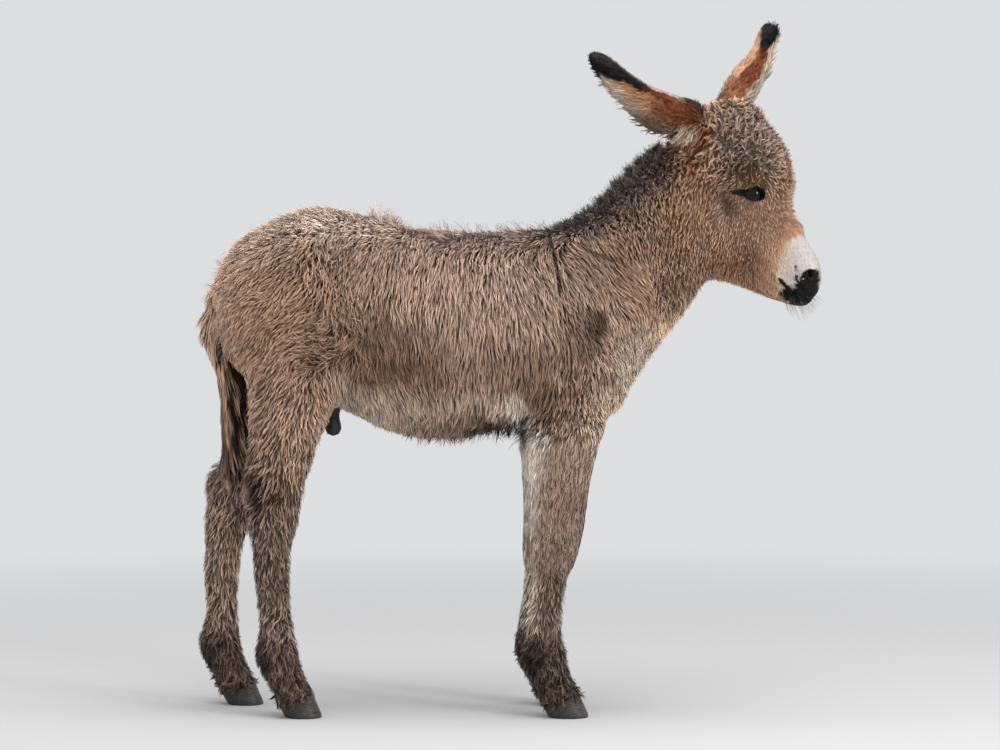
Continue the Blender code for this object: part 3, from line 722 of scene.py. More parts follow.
def body_colour(points):
    x, y, z = points.T
    colour = evenly(points, FAWN)
    # The legs are greyer than the trunk.
    low = 1 - ramp(z + 0.02 * drift(points, 0.05, 8), 0.24, 0.42)
    colour = toward(colour, linear(164, 141, 127), 0.80 * low)
    for centre, reach, tone, strength in BODY_MARKS_AND_PAINTED_SHADING:
        colour = toward(colour, tone, strength * patch(points, centre, reach))
    # A dark line runs down the back, fainter on the croup.
    dorsal = (1 - ramp(np.abs(y) + 0.002 * drift(points, 0.02, 13), 0.004, 0.013)) * ramp(z, 0.66, 0.70)
    colour = toward(colour, linear(104, 82, 70), 0.80 * dorsal * ramp(x, -0.36, -0.12))
    colour = toward(colour, linear(150, 124, 106), 0.45 * dorsal * (1 - ramp(x, -0.36, -0.12)))
    # Mud lies in blotches on the legs, thickly on the feet and in the hollows of the heels.
    blotch = drift(points, 0.018, 9)
    clean = patch(points, (0.012, 0.080, 0.250), (0.042, 0.120, 0.200))
    colour = toward(colour, MUD, low * 0.45 * ramp(blotch, 0.1, 1.1) * (1 - clean))
    feet = 1 - ramp(z + 0.012 * drift(points, 0.03, 10) + 0.016 * (x < -0.2), 0.085, 0.150)
    colour = toward(colour, linear(50, 39, 32), (0.90 - 0.14 * (x < -0.2)) * feet)
    dusty = ramp(drift(points, 0.013, 12) + 0.4 * (z < 0.09), -0.1, 0.9)
    colour = toward(colour, linear(152, 128, 110), (0.58 + 0.14 * (x < -0.2)) * dusty * feet)
    for heel in HEELS:
        colour = toward(colour, linear(30, 23, 19), 0.62 * patch(points, heel, (0.026, 0.100, 0.036)))
    # The stripe down the shoulder, and painted shade along the crease where the neck sets on.
    stripe = drawn_line(points, SHOULDER_STRIPE, 0.0012, 0.0052)
    colour = toward(colour, SOOT, 0.88 * stripe * (z > 0.60))
    return toward(colour, MUD, 0.75 * drawn_line(points, NECK_CREASE_SHADE, 0.0010, 0.0060))


# The white of the muzzle begins this far forward at each height below the eyes, and the dark
# of the nostrils and lips this far.
WHITE_EDGE = [(-0.190, 0.200), (-0.150, 0.036), (-0.129, 0.036), (-0.116, 0.031), (-0.103, 0.037),
              (-0.090, 0.046), (-0.074, 0.055), (-0.0635, 0.073), (-0.058, 0.200)]
DARK_EDGE = [(-0.190, 0.060), (-0.174, 0.057), (-0.166, 0.046), (-0.159, 0.0405), (-0.153, 0.0380),
             (-0.1480, 0.0410), (-0.1455, 0.0580), (-0.143, 0.0620), (-0.137, 0.0650), (-0.1326, 0.0662),
             (-0.125, 0.0695), (-0.1200, 0.0770), (-0.1165, 0.0840), (-0.1135, 0.2000)]
FRECKLES = [(0.0655, -0.1120), (0.0650, -0.1160), (0.0690, -0.1200)]
MOUTH_CORNER = [(0.0410, -0.1330), (0.0490, -0.1420), (0.0565, -0.1500)]

# Where each marking of the head lies, in its own axes, folded onto one side. Some are painted shade or
# painted light, as said by each.
HEAD_MARKS_AND_PAINTED_SHADING = [
    ((-0.005, 0.04, 0.050), (0.075, 0.06, 0.050), linear(168, 145, 130), 0.78),
    # Painted shade in the hollow above and behind the eye.
    ((-0.018, 0.05, 0.036), (0.034, 0.04, 0.020), linear(120, 96, 82), 0.60),
    ((0.000, 0.02, 0.098), (0.110, 0.07, 0.056), linear(168, 148, 134), 0.85),
    ((-0.038, 0.05, -0.080), (0.036, 0.05, 0.040), linear(228, 184, 150), 0.65),
    ((-0.020, 0.05, -0.130), (0.100, 0.06, 0.040), linear(176, 136, 108), 0.60),
    ((-0.096, 0.05, 0.047), (0.014, 0.05, 0.028), linear(190, 120, 78), 0.74),
    ((-0.081, 0.05, 0.092), (0.023, 0.05, 0.028), linear(184, 104, 58), 0.85),
    ((0.030, 0.05, -0.130), (0.022, 0.04, 0.034), linear(156, 118, 92), 0.50),
    ((0.052, 0.03, -0.062), (0.026, 0.05, 0.018), RUST, 0.28),
    ((-0.001, 0.06, 0.0240), (0.024, 0.03, 0.0100), linear(190, 130, 86), 0.60),
    # Painted shade down the hollow below and behind the eye, and painted light on the facial crest behind it.
    ((-0.030, 0.06, -0.026), (0.0150, 0.03, 0.022), UMBER, 0.62),
    ((-0.044, 0.06, -0.006), (0.014, 0.03, 0.014), UMBER, 0.60),
    ((-0.036, 0.06, -0.020), (0.012, 0.03, 0.018), linear(104, 80, 68), 0.55),
    ((-0.052, 0.06, -0.032), (0.010, 0.03, 0.028), linear(206, 184, 172), 0.45),
    ((-0.020, 0.05, -0.105), (0.060, 0.06, 0.034), RUST, 0.20),
]


def head_patch(face, centre, reach, seed):
    away = np.linalg.norm((face - np.array(centre)) / np.array(reach), axis=1)
    return 1 - ramp(away + 0.14 * drift(face, 0.018, seed), 0.45, 1.1)


def head_colour(points):
    face = mirrored(points)
    fore, side, up = face.T
    apart = in_head(points) * np.array([1, -1, 1])
    colour = evenly(points, linear(212, 168, 138))
    for k, (centre, reach, tone, strength) in enumerate(HEAD_MARKS_AND_PAINTED_SHADING):
        colour = toward(colour, tone, strength * head_patch(face, centre, reach, 20 + k))
    # The white of the muzzle meets the coat in a ragged edge.
    uneven = 0.0030 * drift(apart, 0.010, 31) + 0.0022 * drift(apart, 0.0035, 35)
    white_from = np.interp(up, *zip(*WHITE_EDGE))
    pale_nose = toward(evenly(points, linear(203, 195, 189)), CREAM, 1 - ramp(fore, 0.045, 0.070))
    share = ramp(fore + uneven - white_from, -0.002, 0.004)[:, None]
    colour = colour * (1 - share) + pale_nose * share
    # The dark of nose and lips is parted by a pale line down the middle.
    mottle = 0.0045 * drift(apart, 0.008, 32) + 0.0035 * drift(apart, 0.0032, 36)
    dark_from = np.interp(up, *zip(*DARK_EDGE))
    blaze = np.interp(up, (-0.156, -0.146, -0.136, -0.124, -0.114), (0.004, 0.009, 0.0135, 0.018, 0.026))
    midline = (1 - ramp(side + 0.7 * mottle, 0.6 * blaze, 1.3 * blaze)) * ramp(up + mottle, -0.156, -0.146)
    dark = ramp(fore + mottle - dark_from, -0.0015, 0.0030) * (1 - midline)
    colour = toward(colour, linear(12, 8, 8), dark)
    spots = drawn_line(face, FRECKLES, 0.0006, 0.0022, 0.0012 * drift(apart, 0.003, 37))
    colour = toward(colour, SOOT, 0.85 * spots * (side > 0.02))
    streak = drawn_line(face, MOUTH_CORNER, 0.0022, 0.0046, 0.0008 * drift(apart, 0.004, 38))
    colour = toward(colour, SOOT, streak * (fore > 0))
    colour = toward(colour, SOOT, 0.97 * (1 - ramp(nostril_gap(points), 0.9, 1.25)) * (fore > 0))
    colour = toward(colour, SOOT, 0.9 * (1 - ramp(mouth_gap(points), 0.001, 0.0026)) * (fore > 0))
    return colour


def lid_colour(points, colour):
    """Bare dark rims round the eyes, with a pale line below the lower lid."""
    for side in eyes:
        gap, flat, ahead = lid_gap(points, side)
        rear = 1 - ramp(rear_fold(points, side), 0.60, 1.0)
        colour = toward(colour, SOOT, 0.97 * np.maximum(1 - ramp(gap, 0.0017, 0.0030), rear * (ahead > 0)))
        pale = bell(gap, 0.0040, 0.0011) * (1 - ramp(flat[:, 1], -0.004, 0.000)) * (ahead > 0)
        colour = toward(colour, CREAM, 0.75 * pale)
    return colour


ear_frames = {side: ear_frame(side, points, label) for side in ear_roots}


def ear_place(points, side):
    """How far along the ear, 0 to 1, and across it, from -1 at the white fringe to 1 at the rim."""
    root, run, rim_way, bins, low, high = ear_frames[side]
    offset = points - root
    along = offset @ run / (run @ run)
    low, high = np.interp(along, bins, low), np.interp(along, bins, high)
    away = np.linalg.norm(offset - along[:, None] * run, axis=1)
    return along, 2 * (offset @ rim_way - low) / (high - low) - 1, away


# The way each ear's cup opens.
EAR_OPENING = {"right": unit(np.array([-0.35, 0.20, -0.90])), "left": unit(np.array([0.75, 0.45, 0.0]))}

# Down each ear's dark stripe: how far along, where across the ear it lies and half its width.
EAR_STRIPE = {
    "right": ((0.20, 0.35, 0.50, 0.60, 0.70, 0.80, 0.90, 1.0),
              (0.50, 0.58, 0.62, 0.52, 0.48, 0.25, 0.00, 0.0),
              (0.20, 0.24, 0.32, 0.42, 0.50, 0.76, 1.1, 1.5)),
    "left": ((0.30, 0.40, 0.50, 0.60, 0.70, 0.80, 0.90),
             (-0.10, -0.20, -0.26, -0.22, -0.10, -0.15, -0.05),
             (0.60, 0.55, 0.42, 0.40, 0.52, 0.86, 1.3)),
}


def ear_colour(points, side):
    along, across, _ = ear_place(points, side)
    along = along + 0.022 * drift(points, 0.02, 41)
    across = across + 0.10 * drift(points, 0.015, 42)
    right = side == "right"
    colour = evenly(points, linear(168, 118, 82) if right else linear(210, 166, 130))
    colour = toward(colour, linear(186, 150, 120), 0.7 * (1 - ramp(across, -0.5, 0.1)))
    # On the near ear the white fringe is painted brown low down, as painted shade.
    fringe = toward(evenly(points, linear(214, 194, 174)), linear(88, 68, 55), 0.92 * bell(along, 0.28, 0.32))
    at_fringe = 1 - ramp(across, -0.80, -0.35)
    colour = toward(colour, fringe if right else linear(210, 194, 176), 0.9 * at_fringe)
    rusty = (1 - ramp(along, 0.26, 0.46)) * ramp(across, -0.75, -0.25)
    rust = linear(116, 56, 27) if right else linear(142, 80, 44)
    colour = toward(colour, rust, 0.92 * rusty)
    at_rim = ramp(across, 0.78, 0.96)
    fades = ramp(along, 0.48, 0.64) if right else ramp(along, 0.74, 0.86)
    # Along the rim a cream painted highlight, fading into the rim's own rust edge toward the tip.
    colour = toward(colour, linear(226, 198, 176), 0.8 * at_rim * ramp(along, 0.14, 0.24) * (1 - fades))
    colour = toward(colour, linear(146, 92, 58), 0.8 * at_rim * fades)
    stops, middles, spans = EAR_STRIPE[side]
    core = np.abs(across - np.interp(along, stops, middles)) / np.interp(along, stops, spans)
    core = (1 - ramp(core, 0.70, 1.10)) * ramp(along, 0.16, 0.32)
    begins = 0.42 if right else 0.56
    stripe = evenly(points, linear(104, 50, 26) if right else linear(132, 70, 38))
    stripe = toward(stripe, linear(16, 10, 9), ramp(along, begins, begins + 0.14))
    colour = toward(colour, stripe, core)
    # Painted shade at the ear's base on its rim side.
    shade_at_base = 0.7 * (1 - ramp(along, 0.10, 0.28)) * ramp(across, 0.40, 0.80)
    colour = toward(colour, linear(70, 42, 30), shade_at_base)
    # The cup is cream at its edges and brown in its depth.
    root, run = ear_frames[side][:2]
    off_line = points - root - ((points - root) @ unit(run))[:, None] * unit(run)
    cup = ramp(off_line @ EAR_OPENING[side], 0.001, 0.006) * ramp(off_line[:, 1], -0.001, 0.004)
    lining = toward(evenly(points, linear(206, 184, 162)), linear(112, 84, 68), 1 - ramp(along, 0.2, 0.6))
    colour = colour * (1 - 0.9 * cup[:, None]) + lining * 0.9 * cup[:, None]
    return toward(colour, SOOT * 0.5, ramp(along, 0.88, 0.96))


def hide_colour(points, headness, earness):
    """The colour of the hair tips anywhere on the animal."""
    blend = headness[:, None]
    colour = body_colour(points) * (1 - blend) + head_colour(points) * blend
    colour = lid_colour(points, colour)
    for side in ear_frames:
        along, _, away = ear_place(points, side)
        share = (earness * (away < 0.06) * ramp(along, -0.25, 0.02))[:, None]
        colour = colour * (1 - share) + ear_colour(points, side) * share
    return colour


# ---- Skin finish: dusky hide, seen on the lids, the lips and inside the ears ------------------
# The hide is thin, supple skin. Fine hair colours it as it colours the coat, under the wool it is
# darkened as painted shade from the hair over it, and bare places are smooth and a little moist.

earness = relaxed(is_part(label, "ear").astype(float), edges, 3)


def set_tone(mesh, colours):
    layer = mesh.attributes.new("tone", "FLOAT_COLOR", "POINT")
    flat = np.ones((len(colours), 4), np.float32)
    flat[:, :3] = colours
    layer.data.foreach_set("color", flat.ravel())


def new_material(name, **sockets):
    """A material with one Principled shader, and its nodes, links and shader."""
    made = bpy.data.materials.new(name)
    made.use_nodes = True
    tree = made.node_tree
    shader = tree.nodes["Principled BSDF"]
    for socket, value in sockets.items():
        shader.inputs[socket.replace("_", " ")].default_value = value
    return made, tree.nodes, tree.links, shader


def object_noise(nodes_in, links, scale, detail=3.0):
    place = nodes_in.new("ShaderNodeTexCoord")
    noise = nodes_in.new("ShaderNodeTexNoise")
    noise.inputs["Scale"].default_value = scale
    noise.inputs["Detail"].default_value = detail
    links.new(place.outputs["Object"], noise.inputs["Vector"])
    return noise


def toned(nodes_in, links, shader, scale, low, high):
    """Drives the base colour by the tone on the mesh, made uneven by fine noise."""
    tone = nodes_in.new("ShaderNodeAttribute")
    tone.attribute_name = "tone"
    noise = object_noise(nodes_in, links, scale)
    band = nodes_in.new("ShaderNodeMapRange")
    band.inputs["To Min"].default_value = low
    band.inputs["To Max"].default_value = high
    links.new(noise.outputs["Fac"], band.inputs["Value"])
    mixed = nodes_in.new("ShaderNodeVectorMath")
    mixed.operation = "SCALE"
    links.new(tone.outputs["Color"], mixed.inputs[0])
    links.new(band.outputs["Result"], mixed.inputs["Scale"])
    links.new(mixed.outputs["Vector"], shader.inputs["Base Color"])


def bumped(nodes_in, links, shader, scale, distance, strength, detail=3.0):
    """Raises and lowers the surface by fine noise."""
    relief = object_noise(nodes_in, links, scale, detail)
    bump = nodes_in.new("ShaderNodeBump")
    bump.inputs["Distance"].default_value = distance
    bump.inputs["Strength"].default_value = strength
    links.new(relief.outputs["Fac"], bump.inputs["Height"])
    links.new(bump.outputs["Normal"], shader.inputs["Normal"])


def natural(name, scale, low, high, relief=None, **sockets):
    """A material coloured by the tone on its mesh; relief is a scale, a depth and a strength."""
    made, nodes_in, links, shader = new_material(name, **sockets)
    toned(nodes_in, links, shader, scale, low, high)
    if relief:
        bumped(nodes_in, links, shader, *relief)
    return made


PORES = (1500.0, 0.0004, 0.6, 2.0)
hide = natural("hide", scale=900.0, low=0.75, high=1.2, relief=PORES, Roughness=0.62, Specular_IOR_Level=0.25)
skin_tone = hide_colour(points, headness, earness)
# Under the wool the skin is darkened as painted shade, the more the deeper the coat over it.
PAINTED_SHADE_UNDER_COAT = 0.22
covered = ramp(depth, 0.0012, 0.0045)[:, None]
set_tone(skin_mesh, skin_tone * (1 - covered * (1 - PAINTED_SHADE_UNDER_COAT)))
skin_mesh.materials.clear()
skin_mesh.materials.append(hide)


# ---- Coat: locks of woolly hair ---------------------------------------------------------------
# Each tuft is a thin tapered ribbon rooted in the skin. Tufts lean together into locks, lie
# along the body the way the coat does, and wave; the locks' tips reach the solids' outline.

# Place on the right side, the way the hair lies there, length, waviness, how far it gathers
# into locks, how far it stands compared with the coat's depth, and how dark its roots are
# (a dark undercoat, with painted shade deep among the locks as well).
LIE_BODY = [
    ((0.06, 0.0, 0.738), (-1.0, -0.10, 0.30), 0.024, 0.60, 0.70, 1.10, 0.50),
    ((0.00, 0.0, 0.736), (-1.0, -0.10, 0.30), 0.026, 0.60, 0.70, 1.15, 0.50),
    ((-0.06, 0.0, 0.734), (-1.0, -0.10, 0.30), 0.026, 0.60, 0.70, 1.15, 0.50),
    ((-0.12, 0.0, 0.734), (-1.0, -0.10, 0.30), 0.026, 0.60, 0.70, 1.15, 0.50),
    ((-0.18, 0.0, 0.738), (-1.0, -0.10, 0.20), 0.026, 0.80, 0.70, 1.15, 0.45),
    ((-0.24, 0.0, 0.749), (-1.0, -0.10, 0.10), 0.022, 0.90, 0.70, 1.10, 0.42),
    ((-0.30, 0.0, 0.760), (-1.0, -0.10, 0.00), 0.020, 0.80, 0.65, 1.10, 0.36),
    ((-0.37, 0.0, 0.742), (-1.0, -0.10, -0.40), 0.020, 0.80, 0.65, 1.10, 0.34),
    ((0.06, -0.034, 0.731), (-0.40, -1.0, -0.20), 0.026, 0.50, 0.70, 1.10),
    ((-0.05, -0.034, 0.726), (-0.15, -1.0, -0.30), 0.030, 0.45, 0.75, 1.15),
    ((-0.15, -0.034, 0.726), (-0.10, -1.0, -0.30), 0.032, 0.45, 0.75, 1.15),
    ((-0.24, -0.034, 0.741), (-0.50, -1.0, -0.20), 0.026, 0.90, 0.70, 1.20, 0.45),
    ((-0.32, -0.034, 0.753), (-0.90, -0.8, 0.00), 0.020, 1.10, 0.65, 1.20, 0.30),
    ((-0.41, -0.034, 0.696), (-1.00, -0.5, -0.80), 0.018, 0.70, 0.60, 1.00, 0.34),
    ((-0.46, -0.010, 0.620), (-0.20, -0.3, -1.00), 0.030, 0.40, 0.60, 0.80, 0.36),
    ((0.02, -0.090, 0.690), (0.30, -0.3, -1.00), 0.030, 0.40, 0.80, 0.95),
    ((-0.08, -0.100, 0.690), (0.02, -0.3, -1.00), 0.034, 0.40, 0.85, 0.95),
    ((-0.18, -0.090, 0.690), (-0.15, -0.3, -1.00), 0.032, 0.70, 0.80, 1.00),
    ((0.03, -0.115, 0.600), (0.14, 0.0, -1.00), 0.034, 0.35, 0.85, 0.90),
    ((-0.08, -0.118, 0.600), (-0.02, 0.0, -1.00), 0.038, 0.35, 0.88, 0.90),
    ((-0.18, -0.110, 0.600), (0.10, 0.0, -1.00), 0.034, 0.60, 0.85, 0.95),
    ((0.03, -0.100, 0.500), (-0.10, 0.3, -1.00), 0.030, 0.40, 0.80, 0.95),
    ((-0.08, -0.100, 0.500), (0.00, 0.3, -1.00), 0.034, 0.40, 0.80, 0.95),
    ((-0.18, -0.090, 0.510), (0.50, 0.2, -1.00), 0.032, 0.50, 0.80, 0.95),
    ((-0.07, -0.020, 0.445), (-0.40, 0.4, -1.00), 0.028, 0.30, 0.70, 1.15),
    ((-0.17, -0.020, 0.470), (-0.10, 0.4, -1.00), 0.026, 0.30, 0.70, 1.30),
    ((0.02, -0.020, 0.440), (-0.60, 0.3, -1.00), 0.022, 0.40, 0.75, 0.60),
    ((-0.25, -0.090, 0.500), (0.05, 0.0, -1.00), 0.028, 0.60, 0.80, 1.00),
    ((-0.29, -0.100, 0.690), (-0.10, -0.2, -1.00), 0.024, 1.00, 0.80, 1.05),
    ((-0.34, -0.095, 0.700), (-0.75, -0.2, -1.00), 0.018, 0.70, 0.65, 1.00, 0.45),
    ((-0.37, -0.090, 0.640), (-0.95, -0.1, -0.95), 0.018, 0.45, 0.60, 0.95, 0.42),
    ((-0.38, -0.095, 0.560), (-0.55, 0.0, -1.00), 0.018, 0.50, 0.60, 0.95, 0.42),
    ((-0.255, -0.105, 0.610), (0.20, 0.0, -1.00), 0.026, 1.20, 0.80, 1.10),
    ((-0.290, -0.105, 0.580), (-0.70, 0.0, 0.10), 0.020, 1.20, 0.80, 1.05),
    ((-0.450, -0.050, 0.580), (-0.40, 0.0, -1.00), 0.024, 0.30, 0.60, 0.95, 0.42),
    ((-0.350, -0.090, 0.480), (-0.45, 0.0, -1.00), 0.016, 0.60, 0.65, 0.95, 0.45),
    ((-0.270, -0.085, 0.460), (0.35, 0.0, -1.00), 0.016, 0.60, 0.65, 0.95, 0.40),
    ((-0.330, -0.075, 0.390), (-0.25, 0.0, -1.00), 0.018, 0.60, 0.70, 0.95),
    ((-0.380, -0.070, 0.345), (-0.40, 0.0, -1.00), 0.018, 0.90, 0.80, 1.20, 0.70),
    ((-0.350, -0.070, 0.240), (0.05, 0.0, -1.00), 0.015, 0.90, 0.85, 1.00, 0.68),
    ((-0.350, -0.070, 0.120), (-0.15, 0.0, -1.00), 0.022, 1.00, 0.85, 1.50),
    ((-0.320, -0.070, 0.060), (0.10, 0.0, -1.00), 0.017, 0.70, 0.80, 1.20),
    ((-0.330, -0.075, 0.300), (0.15, 0.0, -1.00), 0.017, 0.90, 0.80, 1.00, 0.60),
    ((0.130, -0.085, 0.640), (0.32, 0.0, -1.00), 0.028, 0.40, 0.85, 0.95),
    ((0.110, -0.060, 0.710), (0.75, 0.0, -1.00), 0.028, 0.50, 0.85, 0.95),
    ((0.190, -0.060, 0.660), (0.95, 0.0, -1.00), 0.028, 0.40, 0.85, 1.00),
    ((0.180, -0.080, 0.570), (0.15, 0.0, -1.00), 0.022, 0.50, 0.75, 0.95),
    ((0.230, -0.020, 0.560), (-0.10, 0.0, -1.00), 0.018, 0.40, 0.65, 0.95),
    ((0.090, -0.075, 0.460), (-0.10, 0.0, -1.00), 0.019, 0.60, 0.78, 0.95, 0.62),
    ((0.020, -0.060, 0.390), (-0.25, 0.0, -1.00), 0.020, 0.30, 0.50, 1.10, 0.14),
    ((0.022, -0.060, 0.300), (-0.25, 0.0, -1.00), 0.018, 0.30, 0.50, 1.10, 0.18),
    ((0.018, -0.060, 0.185), (-0.15, 0.0, -1.00), 0.016, 0.40, 0.55, 1.05, 0.22),
    ((0.240, -0.010, 0.580), (-0.10, 0.0, -1.00), 0.020, 0.30, 0.50, 1.10, 0.22),
    ((0.080, -0.075, 0.360), (-0.10, 0.0, -1.00), 0.016, 0.80, 0.78, 1.00, 0.68),
    ((0.080, -0.075, 0.280), (0.00, 0.0, -1.00), 0.015, 0.95, 0.80, 1.05, 0.66),
    ((0.070, -0.075, 0.180), (0.00, 0.0, -1.00), 0.014, 0.80, 0.75, 1.00, 0.56),
    ((0.050, -0.075, 0.110), (-0.15, 0.0, -1.00), 0.017, 1.00, 0.80, 1.05),
    ((0.080, -0.075, 0.055), (0.10, 0.0, -1.00), 0.017, 0.70, 0.80, 1.20),
    ((0.200, -0.045, 0.780), (0.25, -0.1, -1.00), 0.016, 0.90, 0.75, 0.95),
    ((0.160, -0.025, 0.800), (0.45, -0.5, -0.80), 0.020, 1.30, 0.88, 1.40, 0.84),
    ((0.230, -0.030, 0.860), (0.25, -0.5, -0.90), 0.018, 1.40, 0.88, 1.35, 0.86),
    ((0.260, -0.045, 0.740), (-0.20, 0.0, -1.00), 0.012, 0.60, 0.65, 0.95),
    ((0.240, -0.040, 0.660), (-0.15, 0.0, -1.00), 0.014, 0.50, 0.70, 0.95),
]
# The same for the head, in its own axes, folded onto its left side.
LIE_HEAD = [
    ((-0.060, 0.000, 0.120), (-0.50, 0.40, 0.30), 0.014, 1.30, 0.85, 1.25, 0.66),
    ((-0.020, 0.000, 0.118), (0.50, 0.40, 0.40), 0.014, 1.30, 0.85, 1.20, 0.66),
    ((0.020, 0.000, 0.090), (0.60, 0.30, 0.50), 0.013, 1.30, 0.85, 1.15, 0.58),
    ((0.045, 0.000, 0.030), (0.30, 0.40, 0.30), 0.011, 1.20, 0.80, 1.10, 0.42),
    ((0.050, 0.000, -0.025), (0.10, 0.30, -1.00), 0.009, 0.90, 0.70, 0.80, 0.40),
    ((-0.010, 0.045, 0.085), (0.40, 0.10, 0.80), 0.013, 1.40, 0.90, 1.10, 0.80),
    ((0.000, 0.055, 0.050), (-0.60, 0.10, -0.20), 0.0118, 1.45, 0.94, 1.15, 0.95),
    ((0.030, 0.045, 0.050), (0.80, 0.10, 0.30), 0.012, 1.30, 0.90, 1.10, 0.78),
    ((-0.050, 0.050, 0.045), (-0.30, 0.10, -0.90), 0.013, 1.20, 0.85, 1.05, 0.66),
    ((0.004, 0.060, 0.027), (0.30, 0.10, -0.70), 0.0080, 1.10, 0.80, 1.00, 0.70),
    ((-0.035, 0.060, 0.012), (-0.70, 0.00, -0.60), 0.007, 0.70, 0.65, 1.00, 0.52),
    ((0.000, 0.060, -0.025), (0.10, 0.00, -1.00), 0.006, 0.80, 0.65, 1.00, 0.58),
    ((-0.035, 0.060, -0.025), (-0.20, 0.00, -1.00), 0.006, 0.40, 0.50, 0.90, 0.34),
    ((0.040, 0.050, -0.030), (0.25, 0.00, -1.00), 0.007, 0.90, 0.75, 1.10, 0.60),
    ((0.062, 0.004, -0.046), (0.60, 0.00, -1.00), 0.012, 0.60, 0.80, 2.20, 0.30),
    ((0.066, 0.020, -0.070), (0.45, 0.00, -1.00), 0.0036, 0.20, 0.30, 0.80, 0.12),
    ((0.076, 0.030, -0.095), (0.45, 0.00, -1.00), 0.0032, 0.10, 0.20, 0.80, 0.10),
    ((0.090, 0.020, -0.120), (0.45, 0.00, -1.00), 0.0028, 0.10, 0.20, 0.70, 0.10),
    ((0.055, 0.040, -0.105), (0.25, 0.00, -1.00), 0.0040, 0.20, 0.30, 0.90, 0.18),
    ((0.030, 0.045, -0.090), (0.10, 0.00, -1.00), 0.0065, 0.90, 0.70, 1.00, 0.58),
    ((-0.040, 0.055, -0.055), (-0.10, 0.00, -1.00), 0.0085, 0.80, 0.70, 0.95, 0.54),
    ((-0.075, 0.045, 0.000), (-0.10, 0.00, -1.00), 0.0110, 0.60, 0.70, 0.95, 0.52),
    ((0.000, 0.050, -0.100), (-0.05, 0.00, -1.00), 0.0070, 1.00, 0.75, 1.00, 0.58),
    ((-0.040, 0.040, -0.120), (-0.20, 0.00, -1.00), 0.0105, 0.80, 0.75, 1.10, 0.55),
    ((0.030, 0.020, -0.155), (0.15, 0.00, -1.00), 0.008, 0.60, 0.65, 1.10, 0.50),
    ((0.070, 0.010, -0.175), (0.50, 0.00, -1.00), 0.006, 0.30, 0.50, 1.60, 0.30),
]


# How far each named place's hair reaches on to the places round it.
LIE_REACH = 0.015


def lie_table(rows):
    """Places, ways and traits. Where no darkness is given, wavier hair has darker roots."""
    full = [row if len(row) == 7 else (*row, min(0.66, 0.44 + 0.16 * row[3])) for row in rows]
    places, ways, *rest = zip(*full)
    return np.array(places), unit(ways), np.array(rest).T


def lie_from(places, ways, traits, points):
    """The way the hair lies and its traits at some points, blended from the named places."""
    squared = ((points[:, None] - places[None]) ** 2).sum(axis=2)
    weight = 1.0 / (squared + LIE_REACH ** 2) ** 2
    weight /= weight.sum(axis=1, keepdims=True)
    return weight @ ways, weight @ traits


def lie_at(points, headness):
    """The way the hair lies and its traits, on the head or the body or between the two."""
    fold = np.array([1, -1, 1]) * (points[:, 1:2] > 0) + 1.0 * (points[:, 1:2] <= 0)
    way, traits = lie_from(*lie_table(LIE_BODY), points * fold)
    way = way * fold
    face = in_head(points)
    flip = np.where(face[:, 1:2] < 0, np.array([[1, -1, 1]]), 1.0)
    head_way, head_traits = lie_from(*lie_table(LIE_HEAD), face * flip)
    head_way = (head_way * flip) @ head_axes
    share = headness[:, None]
    return unit(way * (1 - share) + head_way * share), traits * (1 - share) + head_traits * share


skin_tree = BVHTree.FromPolygons([Vector(p) for p in points], triangles.tolist())
TRIANGLE_CENTRES = points[triangles].mean(axis=1)
TRIANGLE_LABEL = parts_at(TRIANGLE_CENTRES)
first_corner = points[triangles[:, 0]]
cross = np.cross(points[triangles[:, 1]] - first_corner, points[triangles[:, 2]] - first_corner)
TRIANGLE_AREA = np.linalg.norm(cross, axis=1) / 2
LIP_WIDTH = 0.0016
CARRIED = {
    "depth": depth, "headness": headness, "eyes": eyes_clear, "nostril": nostril_gap(points),
    "mouth": mouth_gap(points) / LIP_WIDTH, "earness": earness,
}
# How near the lids, the nostrils and the line of the mouth the hair grows.
BARE_LID, BARE_NOSTRIL, BARE_MOUTH = 0.0018, 1.15, 0.7


def scatter(chosen, count, draw):
    """Roots spread over some of the skin's triangles: place, normal and what the skin carries."""
    weight = TRIANGLE_AREA * chosen
    picked = draw.choice(len(triangles), count, p=weight / weight.sum())
    a, b = np.sqrt(draw.random(count)), draw.random(count)
    share = np.stack([1 - a, a * (1 - b), a * b], axis=1)[:, :, None]
    corner = triangles[picked]
    found = {name: (values[corner][:, :, None] * share).sum(axis=1)[:, 0] for name, values in CARRIED.items()}
    found["place"] = (points[corner] * share).sum(axis=1)
    found["normal"] = unit((normals[corner] * share).sum(axis=1))
    return found


def clear_of_bare_skin(roots):
    """The roots that are not in the eyes, the nostrils or between the lips."""
    bare = (roots["eyes"] < BARE_LID) | (roots["nostril"] < BARE_NOSTRIL) | (roots["mouth"] < BARE_MOUTH)
    return {name: values[~bare] for name, values in roots.items()}


def nearest_index(seeds, places):
    tree = KDTree(len(seeds))
    for k, seed in enumerate(seeds):
        tree.insert(seed, k)
    tree.balance()
    return np.array([tree.find(place)[1] for place in places])


# Half the width of the patch that each ribbon has on its piece's unwrap.
PATCH_HALF = 0.0015


